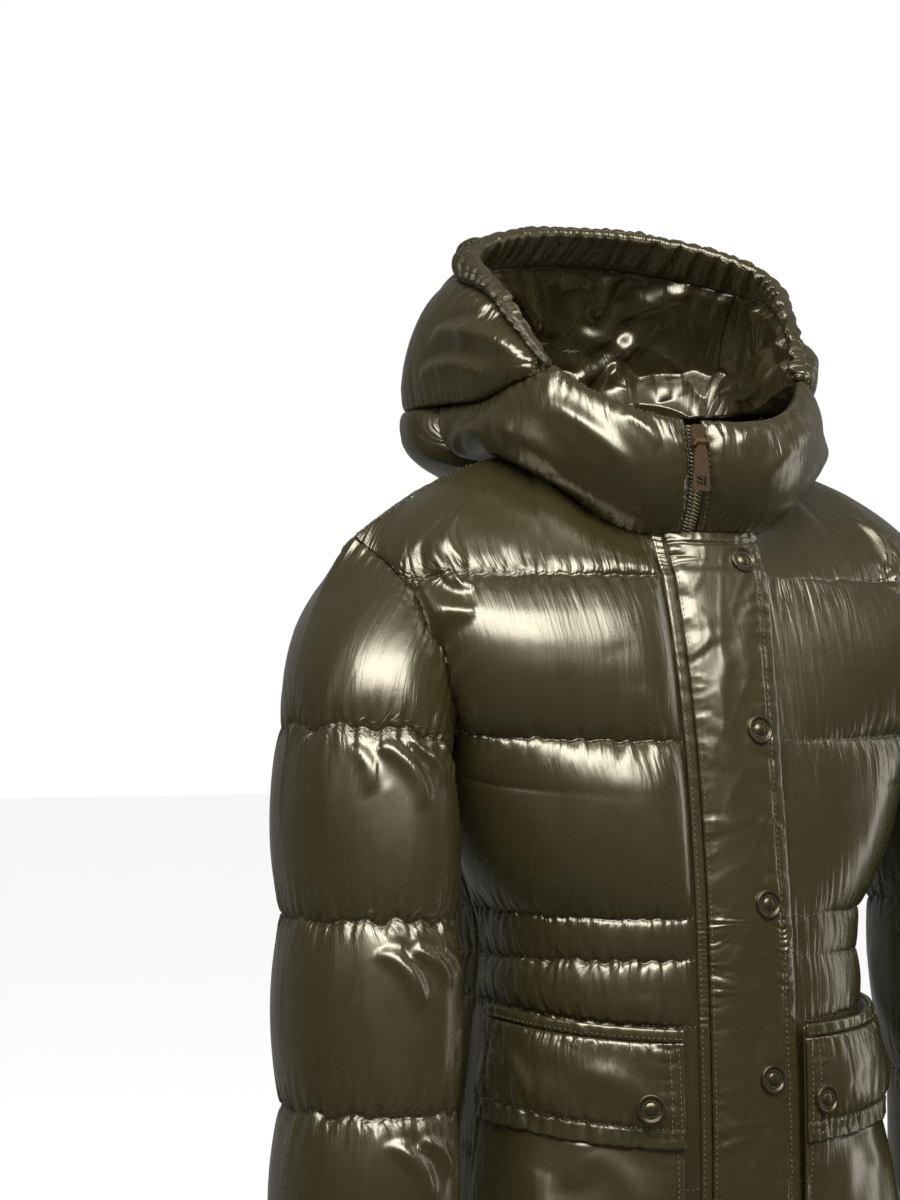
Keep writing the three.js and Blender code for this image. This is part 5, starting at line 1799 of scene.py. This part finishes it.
class ParkaColours(bpy.types.PropertyGroup):
    nylon: colour_property("Nylon", "Shell and lining", (0.0183, 0.0149, 0.0047))
    gloss: number("Gloss roughness", 0.28, "Lower is glossier", min=0.05, max=1)
    snap_metal: colour_property("Snap metal", "Lacquered caps", (0.09, 0.075, 0.042))
    zip_metal: colour_property("Zip metal", "Slider and pull tab", (0.24, 0.155, 0.085))
    zip_teeth: colour_property("Zip teeth", "Moulded teeth", (0.11, 0.094, 0.05))
    thread: colour_property("Thread", "Stitching", (0.075, 0.065, 0.034))
    floor: colour_property("Floor", "Studio floor", (0.985, 0.985, 0.985))


class ParkaOperator:
    bl_options = {"REGISTER"}

    def execute(self, context):
        self.build()
        return {"FINISHED"}


class PARKA_OT_fronts(ParkaOperator, bpy.types.Operator):
    """Both padded fronts."""

    bl_idname, bl_label = "parka.fronts", "Fronts"

    def build(self):
        for side in SIDES:
            make_front(side)


class PARKA_OT_back(ParkaOperator, bpy.types.Operator):
    """The padded back."""

    bl_idname, bl_label = "parka.back", "Back"

    def build(self):
        make_back()


class PARKA_OT_sleeves(ParkaOperator, bpy.types.Operator):
    """Both sleeves and their cuffs."""

    bl_idname, bl_label = "parka.sleeves", "Sleeves and cuffs"

    def build(self):
        for side in SIDES:
            make_sleeve(side)
            make_cuff(side)


class PARKA_OT_hood(ParkaOperator, bpy.types.Operator):
    """The hood's chin, nape, side and centre parts and its casing."""

    bl_idname, bl_label = "parka.hood", "Hood"

    def build(self):
        for side in SIDES:
            make_collar(side)
            make_hood_side(side)
        make_nape()
        make_centre()
        make_casing()


class PARKA_OT_placket(ParkaOperator, bpy.types.Operator):
    """The placket and the strip at its edge."""

    bl_idname, bl_label = "parka.placket", "Placket"

    def build(self):
        make_placket()


class PARKA_OT_pockets(ParkaOperator, bpy.types.Operator):
    """Pockets, mouth strips and flaps."""

    bl_idname, bl_label = "parka.pockets", "Pockets"

    def build(self):
        for side in SIDES:
            make_bag(side)
            make_flap(side)
            make_mouth_strip(side)


class PARKA_OT_zip(ParkaOperator, bpy.types.Operator):
    """Zip tapes and teeth, and the slider's and pull tab's finish."""

    bl_idname, bl_label = "parka.zip", "Zip"

    def build(self):
        make_zip_chain()
        finish_slider()


class PARKA_OT_snaps(ParkaOperator, bpy.types.Operator):
    """Snap caps on the placket and flaps."""

    bl_idname, bl_label = "parka.snaps", "Snaps"

    def build(self):
        make_snaps()


class PARKA_OT_stitching(ParkaOperator, bpy.types.Operator):
    """Stitches along seams, plackets and pockets."""

    bl_idname, bl_label = "parka.stitching", "Stitching"

    def build(self):
        make_stitching()


class PARKA_OT_stage(ParkaOperator, bpy.types.Operator):
    """Floor, lights and camera."""

    bl_idname, bl_label = "parka.stage", "Stage"

    def build(self):
        make_stage()


OPERATORS = (
    PARKA_OT_stage,
    PARKA_OT_fronts,
    PARKA_OT_back,
    PARKA_OT_sleeves,
    PARKA_OT_hood,
    PARKA_OT_placket,
    PARKA_OT_pockets,
    PARKA_OT_zip,
    PARKA_OT_snaps,
    PARKA_OT_stitching,
)


class PARKA_PT_panel(bpy.types.Panel):
    """Lists the parka's pieces and settings."""

    bl_idname, bl_label = "PARKA_PT_panel", "Parka"
    bl_space_type, bl_region_type, bl_category = "VIEW_3D", "UI", "Parka"

    def draw(self, context):
        for group in (context.scene.parka_sizes, context.scene.parka_colours):
            box = self.layout.box()
            for name in group.bl_rna.properties.keys():
                if name not in ("rna_type", "name"):
                    box.prop(group, name)
        for operator in OPERATORS:
            self.layout.operator(operator.bl_idname)


CLASSES = (ParkaSizes, ParkaColours, *OPERATORS, PARKA_PT_panel)


def register():
    for each in CLASSES:
        bpy.utils.register_class(each)
    bpy.types.Scene.parka_sizes = PointerProperty(type=ParkaSizes)
    bpy.types.Scene.parka_colours = PointerProperty(type=ParkaColours)


def unregister():
    del bpy.types.Scene.parka_colours
    del bpy.types.Scene.parka_sizes
    for each in reversed(CLASSES):
        bpy.utils.unregister_class(each)


def main():
    register()
    for operator in OPERATORS:
        group, name = operator.bl_idname.split(".")
        getattr(getattr(bpy.ops, group), name)()


if __name__ == "__main__":
    main()
